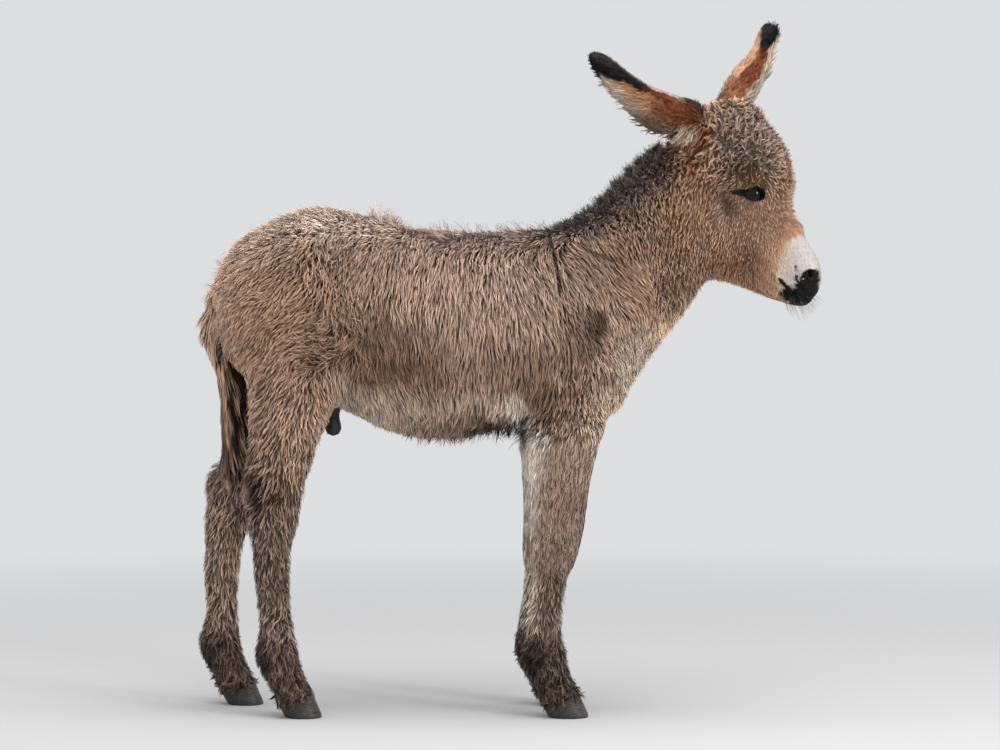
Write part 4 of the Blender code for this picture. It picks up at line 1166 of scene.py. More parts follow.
def weave(name, centre, across, tone, patch_uv, form):
    """One mesh of ribbons from their centre lines, half widths, colours and bake patches."""
    count, rows = centre.shape[:2]
    each = 2 * (rows - 1) + 1

    def laid_out(first, second, last):
        """One value per corner: the two edges of the ribbon in turn, and then its tip."""
        spread = np.empty((count, each, last.shape[-1]))
        spread[:, 0:-1:2] = first
        spread[:, 1:-1:2] = second
        spread[:, -1] = last
        return spread

    corners = laid_out(centre[:, :-1] - across, centre[:, :-1] + across, centre[:, -1])
    shades = laid_out(tone[:, :-1], tone[:, :-1], tone[:, -1])
    fan = []
    for k in range(rows - 2):
        fan += [(2 * k, 2 * k + 3, 2 * k + 1), (2 * k, 2 * k + 2, 2 * k + 3)]
    fan.append((2 * rows - 4, 2 * rows - 2, 2 * rows - 3))
    fan = np.array(fan)
    index = (np.arange(count)[:, None, None] * each + fan[None]).reshape(-1, 3)
    mesh = bpy.data.meshes.new(name)
    mesh.vertices.add(count * each)
    mesh.vertices.foreach_set("co", corners.astype(np.float32).ravel())
    mesh.loops.add(len(index) * 3)
    mesh.loops.foreach_set("vertex_index", index.astype(np.int32).ravel())
    mesh.polygons.add(len(index))
    mesh.polygons.foreach_set("loop_start", np.arange(0, len(index) * 3, 3, dtype=np.int32))
    mesh.polygons.foreach_set("use_smooth", np.ones(len(index), bool))
    mesh.update(calc_edges=True)
    set_tone(mesh, shades.reshape(-1, 3))
    step = np.linspace(-PATCH_HALF, PATCH_HALF, rows)
    spots = laid_out(
        patch_uv[:, None] + np.stack([np.full(rows - 1, -PATCH_HALF), step[:-1]], axis=1),
        patch_uv[:, None] + np.stack([np.full(rows - 1, PATCH_HALF), step[:-1]], axis=1),
        patch_uv + np.array([0.0, PATCH_HALF]),
    )
    layer = mesh.uv_layers.new(name="OFBake")
    layer.data.foreach_set("uv", spots.reshape(-1, 2)[index.ravel()].astype(np.float32).ravel())
    own = read_out(mesh.vertices, "normal", 3, np.float32)
    soft = unit(own * 0.45 + np.repeat(form, each, axis=0) * 0.55)
    mesh.normals_split_custom_set_from_vertices(soft)
    made = link(name, mesh)
    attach(made, "root")
    return made


def unwrapped(places, start, end):
    """Each place on the unwrap of the limb or barrel about the line from start to end."""
    start, end = np.array(start), np.array(end)
    run = unit(end - start)
    aside = unit(np.cross(run, (0.31, 0.12, 0.94) if abs(run[2]) < 0.8 else (1, 0, 0)))
    offset = places - start
    turn = np.arctan2(offset @ np.cross(run, aside), offset @ aside)
    spot = np.stack([turn, offset @ run], axis=1)
    low, high = spot.min(axis=0), spot.max(axis=0)
    return 0.01 + 0.98 * (spot - low) / (high - low)


# Where the rows of a tuft of 5 or of 7 triangles stand along it, and how wide it is at each.
SHAPES = {5: np.array([0.0, 0.40, 0.76, 1.0]), 7: np.array([0.0, 0.28, 0.56, 0.82, 1.0])}
TAPER = {5: np.array([0.80, 1.0, 0.62]), 7: np.array([0.75, 1.0, 0.85, 0.50])}
STREAK_STOPS = 9
LOCK_STEPS = 4
ROOT_SINK = 0.0006
# How far the streaks raise and lighten the hair, and how much its tone varies from lock to lock
# and from tuft to tuft.
STREAK_RAISES, STREAK_LIGHTENS = 0.20, 0.32
LOCK_VARIES, TUFT_VARIES = 0.24, 0.14


def combed(places, headness, size, reach):
    """Fine streaks drawn out along the lie of the hair: about -1 to 1, new every few millimetres."""
    if not len(places):
        return np.zeros(0)
    total = drift(places, size, 66)
    for sign in (-1, 1):
        spot = places.copy()
        for _ in range(STREAK_STOPS // 2):
            way, _ = lie_at(spot, headness)
            spot = spot + sign * way * (reach / STREAK_STOPS)
            total += drift(spot, size, 66)
    return np.clip(total / math.sqrt(STREAK_STOPS) / 1.1, -1.6, 1.6)


def walk_locks(seeds, seed_normal, headness, way, length, turn, lie, snap):
    """The paths of the locks over the form, with the normal and the way aside at each step."""
    path = np.empty((len(seeds), LOCK_STEPS + 1, 3))
    path_normal = np.empty_like(path)
    path_side = np.empty_like(path)
    path[:, 0] = seeds
    path_normal[:, 0] = seed_normal
    for k in range(LOCK_STEPS + 1):
        if k:
            step = path[:, k - 1] + heading * (length / LOCK_STEPS)[:, None]
            path[:, k] = step
            path_normal[:, k] = path_normal[:, k - 1]
            if snap:
                for i, p in enumerate(step):
                    spot, normal, _, _ = skin_tree.find_nearest(Vector(p))
                    path[i, k] = spot
                    path_normal[i, k] = normal
                path_normal[:, k] = unit(0.5 * path_normal[:, k] + 0.5 * path_normal[:, k - 1])
                way, _ = lie(path[:, k], headness)
        n = path_normal[:, k]
        ahead = unit(way - (way * n).sum(axis=1, keepdims=True) * n)
        aside = np.cross(n, ahead)
        heading = unit(ahead * np.cos(turn)[:, None] + aside * np.sin(turn)[:, None])
        path_side[:, k] = np.cross(n, heading)
    return path, path_normal, path_side


def grow(
    name, roots, draw, kind, lock, width, axis, comb=0.066, lie=lie_at, snap=True, tint=None, turning=1.0
):
    """
    Tufts of one kind on the roots given, leaning together about lock apart, as one coat piece.
    comb is how far their streaks are drawn out, and turning how freely the locks turn aside.
    """
    rows = SHAPES[kind]
    count = len(roots["place"])
    # Seeds of the locks: a thinned choice of the roots.
    cell = np.floor(roots["place"] / lock).astype(int)
    _, first = np.unique(cell, axis=0, return_index=True)
    seeds = roots["place"][first]
    mine = nearest_index(seeds, roots["place"])
    seed_normal, seed_headness = roots["normal"][first], roots["headness"][first]
    way, traits = lie(seeds, seed_headness)
    length, wave, gather, stand, dusk = traits.T
    turn = 0.20 * drift(seeds, 0.045, 61) + 0.10 * draw.normal(size=len(seeds))
    turn += (0.8 + 0.6 * seed_headness) * np.maximum(wave - 0.6, 0) * drift(seeds, 0.014, 62)
    turn *= turning
    length = length * draw.uniform(0.85, 1.12, len(seeds))
    path, path_normal, path_side = walk_locks(seeds, seed_normal, seed_headness, way, length, turn, lie, snap)
    # How high each tuft stands, how far it reaches and how it curls.
    streak = combed(roots["place"], roots["headness"], 1.25 * lock, comb)
    level = draw.uniform(0.60, 1.10, count) * (1 + STREAK_RAISES * streak)
    tall = (roots["depth"] if lie is lie_at else 1.0) * stand[mine] * level
    reach = length[mine] * draw.uniform(0.80, 1.08, count)
    tall = np.minimum(tall, reach * 0.95)
    flat_share = np.sqrt(np.maximum(reach ** 2 - tall ** 2, 1e-10)) / length[mine]
    offset = roots["place"] - seeds[mine]
    curl = np.maximum(wave[mine] - 0.8, 0)
    phase = draw.uniform(0, 6.3, len(seeds))[mine] + draw.normal(0, 0.35, count)
    swing = (wave[mine] * 0.0010 + curl * 0.0022) * draw.uniform(0.7, 1.3, count)
    swing *= np.minimum(1.0, reach / 0.014)
    spell = 0.019 - 0.008 * np.minimum(curl, 0.6)
    centre = np.empty((count, len(rows), 3))
    side = np.empty((count, len(rows), 3))
    upright = np.empty((count, len(rows), 3))
    for k, t in enumerate(rows):
        along = np.clip(t * flat_share, 0, 1) * LOCK_STEPS
        low = np.minimum(along.astype(int), LOCK_STEPS - 1)
        part = (along - low)[:, None]
        spot = path[mine, low] * (1 - part) + path[mine, low + 1] * part
        n = unit(path_normal[mine, low] * (1 - part) + path_normal[mine, low + 1] * part)
        s = path_side[mine, low] * (1 - part) + path_side[mine, low + 1] * part
        lean = 1 - gather[mine] * t ** 1.15
        cycle = phase + 2 * math.pi * t * reach / spell
        rise = tall * (1 - (1 - t) ** 1.7) + 0.5 * swing * curl * np.cos(cycle) * min(1.0, 2 * t)
        sway = swing * np.sin(cycle) * min(1.0, 2 * t)
        centre[:, k] = spot + offset * lean[:, None] + n * rise[:, None] + s * sway[:, None]
        side[:, k] = s
        upright[:, k] = n
    centre[:, 0] = roots["place"] - roots["normal"] * ROOT_SINK
    twist = draw.normal(0, 0.45, count)[:, None, None]
    half = 0.5 * width * draw.uniform(0.75, 1.25, count) * np.clip(reach / 0.016, 0.55, 1.25)
    facing = side[:, :-1] * np.cos(twist) + upright[:, :-1] * np.sin(twist)
    across = unit(facing) * (half[:, None] * TAPER[kind][None])[:, :, None]
    if tint is None:
        tips = hide_colour(centre[:, len(rows) // 2], roots["headness"], roots["earness"])
    else:
        tips = tint(roots, draw)
    # Pale places are even; darker ones vary from lock to lock.
    deep = dusk[mine][:, None]
    vary = np.clip(dusk[mine] / 0.5, 0.2, 1.7)
    lock_tone = 1 + vary * LOCK_VARIES * draw.normal(size=len(seeds))[mine]
    lock_tone *= 1 + vary * TUFT_VARIES * draw.normal(size=count)
    lock_tone *= (1 + 0.07 * drift(roots["place"], 0.05, 64)) * (1 + STREAK_LIGHTENS * vary * streak)
    # Tufts that stand low in the coat are darkened, as painted shade from the tufts over them.
    lock_tone *= 1.06 - 0.44 * vary * (1 - ramp(level, 0.55, 1.05))
    # Each tuft darkens toward its root: partly the dark undercoat, partly painted shade deep among the locks.
    tone = np.empty((count, len(rows), 3))
    for k, t in enumerate(rows):
        light = (1 - deep) + deep * t
        tone[:, k] = tips * light * np.clip(lock_tone, 0.25, 1.7)[:, None]
    made = weave(name, centre, across, tone, unwrapped(roots["place"], *axis), roots["normal"])
    made.data.materials.append(wool)
    return made


wool = natural(
    "woolly_coat", scale=420.0, low=0.82, high=1.18,
    Roughness=0.75, Specular_IOR_Level=0.06, Sheen_Weight=0.17, Sheen_Roughness=0.45,
)

SIDES = {"right": TRIANGLE_CENTRES[:, 1] < 0, "left": TRIANGLE_CENTRES[:, 1] >= 0}
QUICK = 1.0
# The quarters lie behind the loin and the barrel before it.
LOIN_X = -0.155


def coat_piece(name, chosen, axis, seed, budget, lock, width, kind=5, **more):
    """A coat piece over the chosen triangles of the skin, of about budget triangles."""
    draw = np.random.default_rng(seed)
    roots = clear_of_bare_skin(scatter(chosen, int(budget * QUICK / kind), draw))
    return grow(name, roots, draw, kind, lock, width, axis, **more)


on_trunk = is_part(TRIANGLE_LABEL, "trunk")
spine = ((-0.45, 0.0, 0.62), (0.22, 0.0, 0.62))
for side, on_side in SIDES.items():
    rear = TRIANGLE_CENTRES[:, 0] < LOIN_X
    quarters, barrel = on_trunk & on_side & rear, on_trunk & on_side & ~rear
    coat_piece(
        "coat_quarters_" + side, quarters, spine, seed=71, budget=160000, lock=0.0033, width=0.0012,
        comb=0.024,
    )
    coat_piece("coat_barrel_" + side, barrel, spine, seed=72, budget=153000, lock=0.0042, width=0.0013)
neck_line = ((0.13, 0.0, 0.68), (0.28, -0.01, 0.84))
on_neck = is_part(TRIANGLE_LABEL, "neck")
coat_piece("coat_neck", on_neck, neck_line, seed=73, budget=145000, lock=0.0036, width=0.0012, comb=0.026)
head_line = (tuple(brow + head_up * 0.12 - head_fore * 0.06), tuple(brow - head_up * 0.15 + head_fore * 0.05))
on_head = is_part(TRIANGLE_LABEL, "head", "eye")
above_eyes = in_head(TRIANGLE_CENTRES)[:, 2] > 0.016
coat_piece(
    "coat_forehead", on_head & above_eyes, head_line, seed=74, budget=100000, lock=0.0048, width=0.0015,
    kind=7, comb=0.008,
)
coat_piece(
    "coat_face", on_head & ~above_eyes, head_line, seed=84, budget=120000, lock=0.0026, width=0.0011,
    comb=0.006,
)
for leg in LEGS:
    low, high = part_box(leg + "_cannon")
    x, y = (low.x + high.x) / 2, (low.y + high.y) / 2
    on_leg, leg_line = is_part(TRIANGLE_LABEL, leg), ((x, y, 0.0), (x, y, 0.5))
    share = 56000 if leg.startswith("fore") else 72000
    coat_piece(
        "coat_leg_" + leg, on_leg, leg_line, seed=75, budget=share, lock=0.0036, width=0.0012, comb=0.018
    )


# ---- Eyes: dark, wet balls ---------------------------------------------------------------------
# Each is a whole eyeball with a low cornea, a brown-black iris and a pupil wider than it is tall,
# seated behind the lids of the skin.

VEINS = (380.0, 0.00003, 0.2)
wet = natural(
    "wet_eye", scale=700.0, low=0.8, high=1.2, relief=VEINS,
    Roughness=0.03, IOR=1.376, Specular_IOR_Level=0.36,
)
RINGS, SPOKES = 46, 72
CORNEA = 0.0006
PUPIL_STRETCH = 1.5
PUPIL_EDGE, IRIS_EDGE, WHITE_OF_EYE = (0.0032, 0.0040), (0.0095, 0.0125), (0.0140, 0.0160)
for side in eyes:
    out, along, up = eye_axes(side)
    turn = np.linspace(0, 2 * math.pi, SPOKES, endpoint=False)
    angle = np.linspace(0, math.pi, RINGS)[1:-1]
    a, t = np.meshgrid(angle, turn, indexing="ij")
    bulge = EYE_RADIUS + CORNEA * (1 - ramp(a, 0.45, 0.85))
    flat_x, flat_y = np.sin(a) * np.cos(t) * bulge, np.sin(a) * np.sin(t) * bulge
    ahead = np.cos(a) * bulge
    spots = (flat_x[..., None] * along + flat_y[..., None] * up + ahead[..., None] * out).reshape(-1, 3)
    spots = np.vstack([spots, out * (EYE_RADIUS + CORNEA), -out * EYE_RADIUS]) + np.array(eyes[side])
    faces = []
    for ring in range(RINGS - 3):
        for spoke in range(SPOKES):
            ahead_spoke = (spoke + 1) % SPOKES
            near, far = ring * SPOKES, (ring + 1) * SPOKES
            faces.append((near + spoke, far + spoke, far + ahead_spoke, near + ahead_spoke))
    last = (RINGS - 3) * SPOKES
    for spoke in range(SPOKES):
        faces.append((len(spots) - 2, spoke, (spoke + 1) % SPOKES))
        faces.append((len(spots) - 1, last + (spoke + 1) % SPOKES, last + spoke))
    ball_mesh = bpy.data.meshes.new("eyeball_" + side)
    ball_mesh.from_pydata(spots.tolist(), [], faces)
    check = bmesh.new()
    check.from_mesh(ball_mesh)
    bmesh.ops.recalc_face_normals(check, faces=check.faces)
    check.to_mesh(ball_mesh)
    check.free()
    offset = spots - np.array(eyes[side])
    flat = np.stack([offset @ along, offset @ up], axis=1)
    reach = np.hypot(flat[:, 0], flat[:, 1]) + 0.1 * (offset @ out < 0)
    fibre = 1 + 0.25 * np.sin(np.arctan2(flat[:, 1], flat[:, 0]) * 37 + reach * 900)
    shade = evenly(spots, linear(15, 10, 9)) * fibre[:, None]
    pupil = 1 - ramp(np.hypot(flat[:, 0] / PUPIL_STRETCH, flat[:, 1]), *PUPIL_EDGE)
    shade = toward(shade, linear(6, 6, 8), pupil)
    shade = toward(shade, linear(8, 6, 6), ramp(reach, *IRIS_EDGE))
    shade = toward(shade, linear(70, 54, 48), ramp(reach, *WHITE_OF_EYE))
    set_tone(ball_mesh, shade)
    ball_mesh.materials.append(wet)
    ball_mesh.shade_smooth()
    eyeball = link("eyeball_" + side, ball_mesh)
    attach(eyeball, "root")
    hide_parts("eye_" + side)


# ---- Lashes and whiskers -----------------------------------------------------------------------
# Single stiff hairs, each a tapering ribbon: black lashes rooted along both lids, longer on the
# upper one, and pale wiry whiskers on the lips and the chin.

hair = natural("stiff_hair", scale=600.0, low=0.8, high=1.2, Roughness=0.45)


def single_hairs(name, starts, ways, bends, lengths, width, shade):
    """Curved tapering hairs: each sets out along its way and bends over."""
    starts, bends, lengths = np.asarray(starts), np.asarray(bends), np.asarray(lengths)
    steps = SHAPES[7]
    reach = lengths[:, None, None] * steps[None, :, None]
    fall = lengths[:, None, None] * (steps ** 2)[None, :, None]
    centre = starts[:, None] + unit(ways)[:, None] * reach + bends[:, None] * fall
    run = unit(centre[:, -1] - centre[:, 0])
    # A hair's flat side faces outward from the head, so that it shows from the side.
    facing = unit(np.cross(run, np.sign(in_head(starts)[:, 1:2] + 1e-9) * head_left))
    across = facing[:, None] * (0.5 * width * TAPER[7])[None, :, None]
    tone = np.broadcast_to(np.asarray(shade)[:, None], centre.shape)
    made = weave(name, centre, across, tone, unwrapped(starts, *head_line), unit(starts - brow))
    made.data.materials.append(hair)
    return made


LASH_ROW = 0.0011
LASH_WIDTH, WHISKER_WIDTH = 0.00042, 0.00024
WHISKERS = 110
draw = np.random.default_rng(81)
starts, ways, bends, lengths, shades = [], [], [], [], []
for side in eyes:
    out, along, up = eye_axes(side)
    for rim, sign, count, long in ((UPPER_LID + [LID_FRONT], 1, 90, 0.0085), (LOWER_LID, -1, 30, 0.0045)):
        rim = np.array(rim)
        for k in range(count):
            t = (k + draw.uniform(0, 1)) / count * (len(rim) - 1)
            low = min(int(t), len(rim) - 2)
            x, y = rim[low] * (1 - (t - low)) + rim[low + 1] * (t - low)
            y += sign * LASH_ROW
            ahead = math.sqrt((EYE_RADIUS + LID_THICKNESS) ** 2 - x * x - y * y)
            starts.append(np.array(eyes[side]) + x * along + y * up + ahead * out)
            spread = x / 0.016
            fan_out = along * (0.55 * spread + draw.normal(0, 0.15))
            ways.append(out + sign * up * (0.35 if sign > 0 else 0.5) + fan_out)
            bends.append(-sign * up * 0.35 * draw.uniform(0.4, 1.2))
            lengths.append(long * draw.uniform(0.6, 1.1) * (1 - 0.3 * abs(spread)))
            shades.append(SOOT * draw.uniform(0.6, 1.3))
single_hairs("lashes", starts, ways, bends, lengths, LASH_WIDTH, shades)

# Whiskers grow from the chin and both lips.
chin = is_part(TRIANGLE_LABEL, "head")
face = mirrored(TRIANGLE_CENTRES)
chin &= (face[:, 0] > 0.045) & (face[:, 2] < -0.156)
roots = scatter(chin, WHISKERS, draw)
face = in_head(roots["place"])
low = ramp(-face[:, 2], 0.145, 0.175)[:, None]
column = (WHISKERS, 1)
ways = roots["normal"] * 0.8 + head_fore * draw.uniform(0.3, 1.1, column) - head_up * (0.1 + 0.5 * low)
bends = -head_up * draw.uniform(0.05, 0.35, column) + head_fore * draw.uniform(-0.1, 0.15, column)
lengths = draw.uniform(0.006, 0.016, WHISKERS) + 0.014 * low[:, 0] * draw.random(WHISKERS)
shades = linear(150, 136, 122) * draw.uniform(0.6, 1.2, column)
single_hairs("whiskers", roots["place"], ways, bends, lengths, WHISKER_WIDTH, shades)


# ---- Ears: hair over thin, cupped leather ------------------------------------------------------
# The outside is rust red going to near black at the tip; the cup and its edges carry long pale
# hair that stands past the rim.


def hair_traits(length, wave, gather, stand, dusk):
    """The traits of some hair, each given place by place or once for all."""
    return np.stack(np.broadcast_arrays(length, wave, gather, stand, dusk), axis=1)


def ear_lie(side):
    """How the hair lies on one ear: along it, and out over the lips of the cup."""
    root, run = ear_frames[side][:2]
    along = unit(run)
    aside = unit(np.cross(along, EAR_OPENING[side]))

    def lie(places, _headness):
        offset = places - root
        sideways = offset @ aside
        t = (offset @ along) / np.linalg.norm(run)
        lip = np.sign(sideways) * ramp(np.abs(sideways), 0.005, 0.019)
        way = along + (lip * 0.85)[:, None] * aside + (0.25 * np.abs(lip))[:, None] * EAR_OPENING[side]
        cup = ramp((offset - (offset @ along)[:, None] * along) @ EAR_OPENING[side], -0.002, 0.006)
        length = 0.0075 + 0.0045 * np.abs(lip) + 0.003 * cup - 0.0035 * ramp(t, 0.75, 0.95)
        length += 0.008 * (1 - ramp(t, 0.05, 0.30)) * cup
        high = 0.0020 + 0.0016 * np.abs(lip)
        woolly = 1 - ramp(t, 0.25, 0.60)
        dusk = 0.42 - 0.14 * np.abs(lip) + 0.22 * woolly
        return unit(way), hair_traits(length, 0.5 + 0.6 * woolly, 0.5 + 0.3 * woolly, high, dusk)

    return lie


RUFF_REACH = 0.031
for side in ear_frames:
    root, run = ear_frames[side][:2]
    chosen = is_part(TRIANGLE_LABEL, "ear_" + side)
    ear_line = (tuple(root), tuple(root + run))
    coat_piece(
        "coat_ear_" + side, chosen, ear_line, seed=76, budget=30000, lock=0.0036, width=0.0011,
        lie=ear_lie(side), snap=False,
    )

    def ruff_lie(places, _headness):
        out = places - root
        out = out - (out @ unit(run))[:, None] * unit(run)
        below = ramp(root[2] - places[:, 2], -0.004, 0.014)
        way = unit(out) * 0.35 + unit(run) * (0.75 - 0.3 * below)[:, None]
        way[:, 2] -= 0.30 + 0.35 * below
        return unit(way), hair_traits(0.012 + 0.013 * below, 0.8, 0.75, 0.003 + 0.010 * below, 0.40)

    def ruff_tint(roots, _draw):
        place = roots["place"]
        below = ramp(root[2] - place[:, 2], 0.000, 0.014) * ramp(0.027 + root[0] - place[:, 0], 0.0, 0.02)
        below *= 1 - ramp(root[2] - place[:, 2], 0.020, 0.030)
        shade = evenly(place, linear(134, 72, 38))
        shade = toward(shade, linear(66, 42, 31), 0.75 * ramp(place[:, 2] - root[2], 0.006, 0.020))
        return toward(shade, linear(226, 206, 182), 0.95 * below)

    near_root = np.linalg.norm(TRIANGLE_CENTRES - root, axis=1) < RUFF_REACH
    coat_piece(
        "coat_ear_base_" + side, near_root, ear_line, seed=90, budget=14000, lock=0.0044, width=0.0012,
        lie=ruff_lie, snap=False, tint=ruff_tint,
    )


# ---- Mane and tail: longer, coarser hair ---------------------------------------------------------
# The foal's mane is a short dark upright fringe on the crest. The tail is a dock with long hair
# hanging from it, tan over the outside and dark below and inside, the inside partly painted shade.


def dark_tint(roots, draw):
    place = roots["place"]
    aside = ramp(np.abs(place[:, 1]), 0.004, 0.013)
    shade = toward(evenly(place, linear(62, 50, 44)), linear(124, 105, 94), 0.75 * aside)
    # A few tufts at random are paled, as painted highlights on the curls.
    return toward(shade, linear(160, 142, 130), 0.75 * draw.random(len(place)) ** 2.5)


# How long the mane is along the crest, from the withers to the poll.
MANE_HEIGHTS = [(0.065, 0.018), (0.10, 0.030), (0.13, 0.037), (0.19, 0.036), (0.215, 0.032), (0.24, 0.026)]


def mane_lie(places, _headness):
    way = evenly(places, [-0.45, 0.0, 0.85])
    way[:, 0] += 0.35 * drift(places, 0.018, 90)
    way[:, 1] += 0.35 * drift(places, 0.018, 91)
    taller = np.interp(places[:, 0], *zip(*MANE_HEIGHTS))
    taller = taller * (1 - 0.35 * ramp(np.abs(places[:, 1]), 0.006, 0.017)) + 0.002 * drift(places, 0.014, 92)
    return unit(way), hair_traits(taller, 1.6, 0.35, taller * 0.90, 0.55)


crest = is_part(TRIANGLE_LABEL, "neck", "trunk") & (np.abs(TRIANGLE_CENTRES[:, 1]) < 0.017)
crest &= (TRIANGLE_CENTRES[:, 0] > 0.072) & (TRIANGLE_CENTRES[:, 0] < 0.245) & (TRIANGLE_CENTRES[:, 2] > 0.72)
mane = coat_piece(
    "mane_hair", crest, neck_line, seed=77, budget=34000, lock=0.0040, width=0.0008, kind=7,
    lie=mane_lie, snap=False, tint=dark_tint,
)
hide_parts("mane")

TAIL_TOP, TAIL_END = (-0.455, 0.0, 0.655), (-0.436, 0.0, 0.400)
# How far back the middle of the tail hangs at each height.
TAIL_MIDDLE = [(0.39, -0.440), (0.44, -0.429), (0.52, -0.441), (0.588, -0.465), (0.655, -0.451)]


def tail_lie(places, _headness):
    way = evenly(places, [0.05, 0.0, -1.0])
    way[:, 0] += -0.30 * ramp(places[:, 2], 0.60, 0.66) + 0.20 * ramp(0.60 - places[:, 2], 0.0, 0.06)
    length = 0.036 + 0.024 * ramp(0.60 - places[:, 2], 0.0, 0.12)
    return unit(way), hair_traits(length, 0.35, 0.7, 0.0085, 0.38)


def tail_tint(roots, _draw):
    place = roots["place"]
    middle = np.interp(place[:, 2], *zip(*TAIL_MIDDLE))
    front = place[:, 0] - middle + 0.008 * drift(place * [1, 1, 0.12], 0.012, 93)
    low = 1 - ramp(place[:, 2], 0.40, 0.56)
    # Toward the thighs the hair is dark: dark tail hair, with the shade of the gap between tail and thighs
    # painted in.
    dark = ramp(front + 0.005 * low, 0.004, 0.011) * ramp(0.625 - place[:, 2], 0.0, 0.05)
    dark = np.maximum(dark, ramp(-front, 0.004, 0.012) * low)
    high = ramp(place[:, 2], 0.54, 0.60)
    shade = toward(evenly(place, linear(196, 163, 134)), linear(226, 192, 164), high)
    return toward(shade, SOOT * 0.5, 0.97 * dark)


x, y, z = TRIANGLE_CENTRES.T
tail_head = on_trunk & (x < -0.425) & (np.abs(y) < 0.030) & (z > 0.585)
on_tail = is_part(TRIANGLE_LABEL, "tail") | tail_head
tail = coat_piece(
    "tail_hair", on_tail, (TAIL_TOP, TAIL_END), seed=78, budget=50000, lock=0.0046, width=0.0014, kind=7,
    lie=tail_lie, snap=False, tint=tail_tint, turning=0.4,
)


# ---- Loose wisps -------------------------------------------------------------------------------
# A few long locks stand clear of the rest of the coat: a tuft over the loin, curls along the back
# and croup, hanging locks under the belly, feather round the fetlocks and wisps down the brow.


def tuft_lie(places, _headness):
    way = evenly(places, [-0.30, 0.0, 0.80])
    way[:, 0] += 1.5 * drift(places, 0.011, 95)
    length = 0.029 + 0.008 * drift(places, 0.012, 94)
    return unit(way), hair_traits(length, 2.2, 0.90, length * 0.85, 0.20)


def tuft_tint(roots, _draw):
    return evenly(roots["place"], linear(206, 190, 178))


def belly_lie(places, _headness):
    way = evenly(places, [-0.25, 0.0, -1.0])
    way[:, 0] += 0.5 * drift(places, 0.03, 96)
    length = 0.027 + 0.006 * drift(places, 0.02, 105)
    return unit(way), hair_traits(length, 0.5, 0.95, length * 0.85, 0.5)


def belly_tint(roots, _draw):
    tips = hide_colour(roots["place"], roots["headness"], roots["earness"])
    return toward(tips, SOOT, 0.85 * ramp(roots["place"][:, 0], -0.075, -0.045))


def flyaway_lie(places, headness):
    way, _ = lie_at(places, headness)
    x = places[:, 0]
    on_back = ramp(x, -0.14, -0.09) * (1 - ramp(x, 0.05, 0.09))
    length = 0.024 + 0.013 * on_back + 0.008 * (1 - ramp(x, -0.42, -0.38)) - 0.010 * headness
    return way, hair_traits(length, 1.6, 0.4, length * (0.80 - 0.10 * headness), 0.15)


def flyaway_tint(roots, _draw):
    tips = hide_colour(roots["place"], roots["headness"], roots["earness"])
    x = roots["place"][:, 0]
    tips = toward(tips, linear(220, 203, 190), 0.40 * (1 - ramp(x, -0.14, -0.09)))
    tips = tips * (1 - 0.35 * roots["headness"])[:, None]
    return toward(tips, UMBER * 0.8, 0.75 * ramp(x, -0.14, -0.09) * (1 - roots["headness"]))


def feather_lie(places, _headness):
    way = evenly(places, [-0.10, 0.0, -1.0])
    way[:, 0] += 1.0 * drift(places, 0.015, 102)
    way[:, 1] += 0.6 * drift(places, 0.015, 103)
    length = 0.014 + 0.003 * drift(places, 0.02, 104) + 0.008 * (1 - ramp(places[:, 2], 0.045, 0.070))
    length = np.minimum(length, places[:, 2] * 0.62 + 0.002)
    return unit(way), hair_traits(length, 1.5, 0.9, 0.0055, 0.72)


x, y, z = TRIANGLE_CENTRES.T
loin_spot = on_trunk & (np.abs(x + 0.194) < 0.020) & (np.abs(y + 0.004) < 0.014) & (z > 0.70)
coat_piece(
    "coat_loin_tuft", loin_spot, spine, seed=79, budget=1500, lock=0.0075, width=0.0008, kind=7,
    lie=tuft_lie, snap=False, tint=tuft_tint,
)
below = on_trunk & (z < 0.475) & (x > -0.16) & (x < 0.07) & (np.abs(y) < 0.09)
coat_piece(
    "coat_belly_locks", below, spine, seed=80, budget=12000, lock=0.0085, width=0.0010, kind=7,
    lie=belly_lie, snap=False, tint=belly_tint,
)
face_normal = unit(cross)
top_line = (face_normal[:, 2] > 0.50) & (z > 0.62) & is_part(TRIANGLE_LABEL, "trunk", "neck", "head")
top_line &= ~on_head | (in_head(TRIANGLE_CENTRES)[:, 2] > 0.035)
top_line |= on_trunk & (face_normal[:, 0] < -0.5) & (z > 0.56)
coat_piece(
    "coat_flyaway", top_line, spine, seed=82, budget=19000, lock=0.0120, width=0.0007, kind=7,
    lie=flyaway_lie, tint=flyaway_tint,
)
feet = is_part(TRIANGLE_LABEL, "pastern", "cannon") & (z < 0.135) & (z > 0.02)
coat_piece(
    "coat_fetlocks", feet, ((0, 0, 0), (0, 0, 1)), seed=83, budget=34000, lock=0.0052, width=0.0013,
    lie=feather_lie, snap=False,
)


def brow_lie(places, _headness):
    up = in_head(places)[:, 2]
    rising = np.interp(up, (-0.04, 0.03, 0.12), (0.15, 0.60, 1.10))
    way = head_fore[None] * 0.8 + head_up[None] * rising[:, None]
    way = way + 0.25 * drift(places, 0.014, 106)[:, None] * head_up
    length = 0.0125 + 0.002 * drift(places, 0.012, 107) - 0.003 * (1 - ramp(up, -0.03, 0.01))
    return unit(way), hair_traits(length, 0.8, 0.85, length * 0.85, 0.35)


face = mirrored(TRIANGLE_CENTRES)
brow_front = on_head & (face[:, 1] < 0.034) & (face[:, 2] > -0.035) & (face[:, 0] > 0.005)
coat_piece(
    "coat_brow_wisps", brow_front, head_line, seed=85, budget=8000, lock=0.0058, width=0.0010, kind=7,
    lie=brow_lie, snap=False,
)


# ---- Hooves and sheath ---------------------------------------------------------------------------
# The hooves are slate horn with fine growth rings, dull with dried mud near the coronet. The sheath
# is bare, black, finely wrinkled skin. Both are smooth copies of the solids with fine relief.


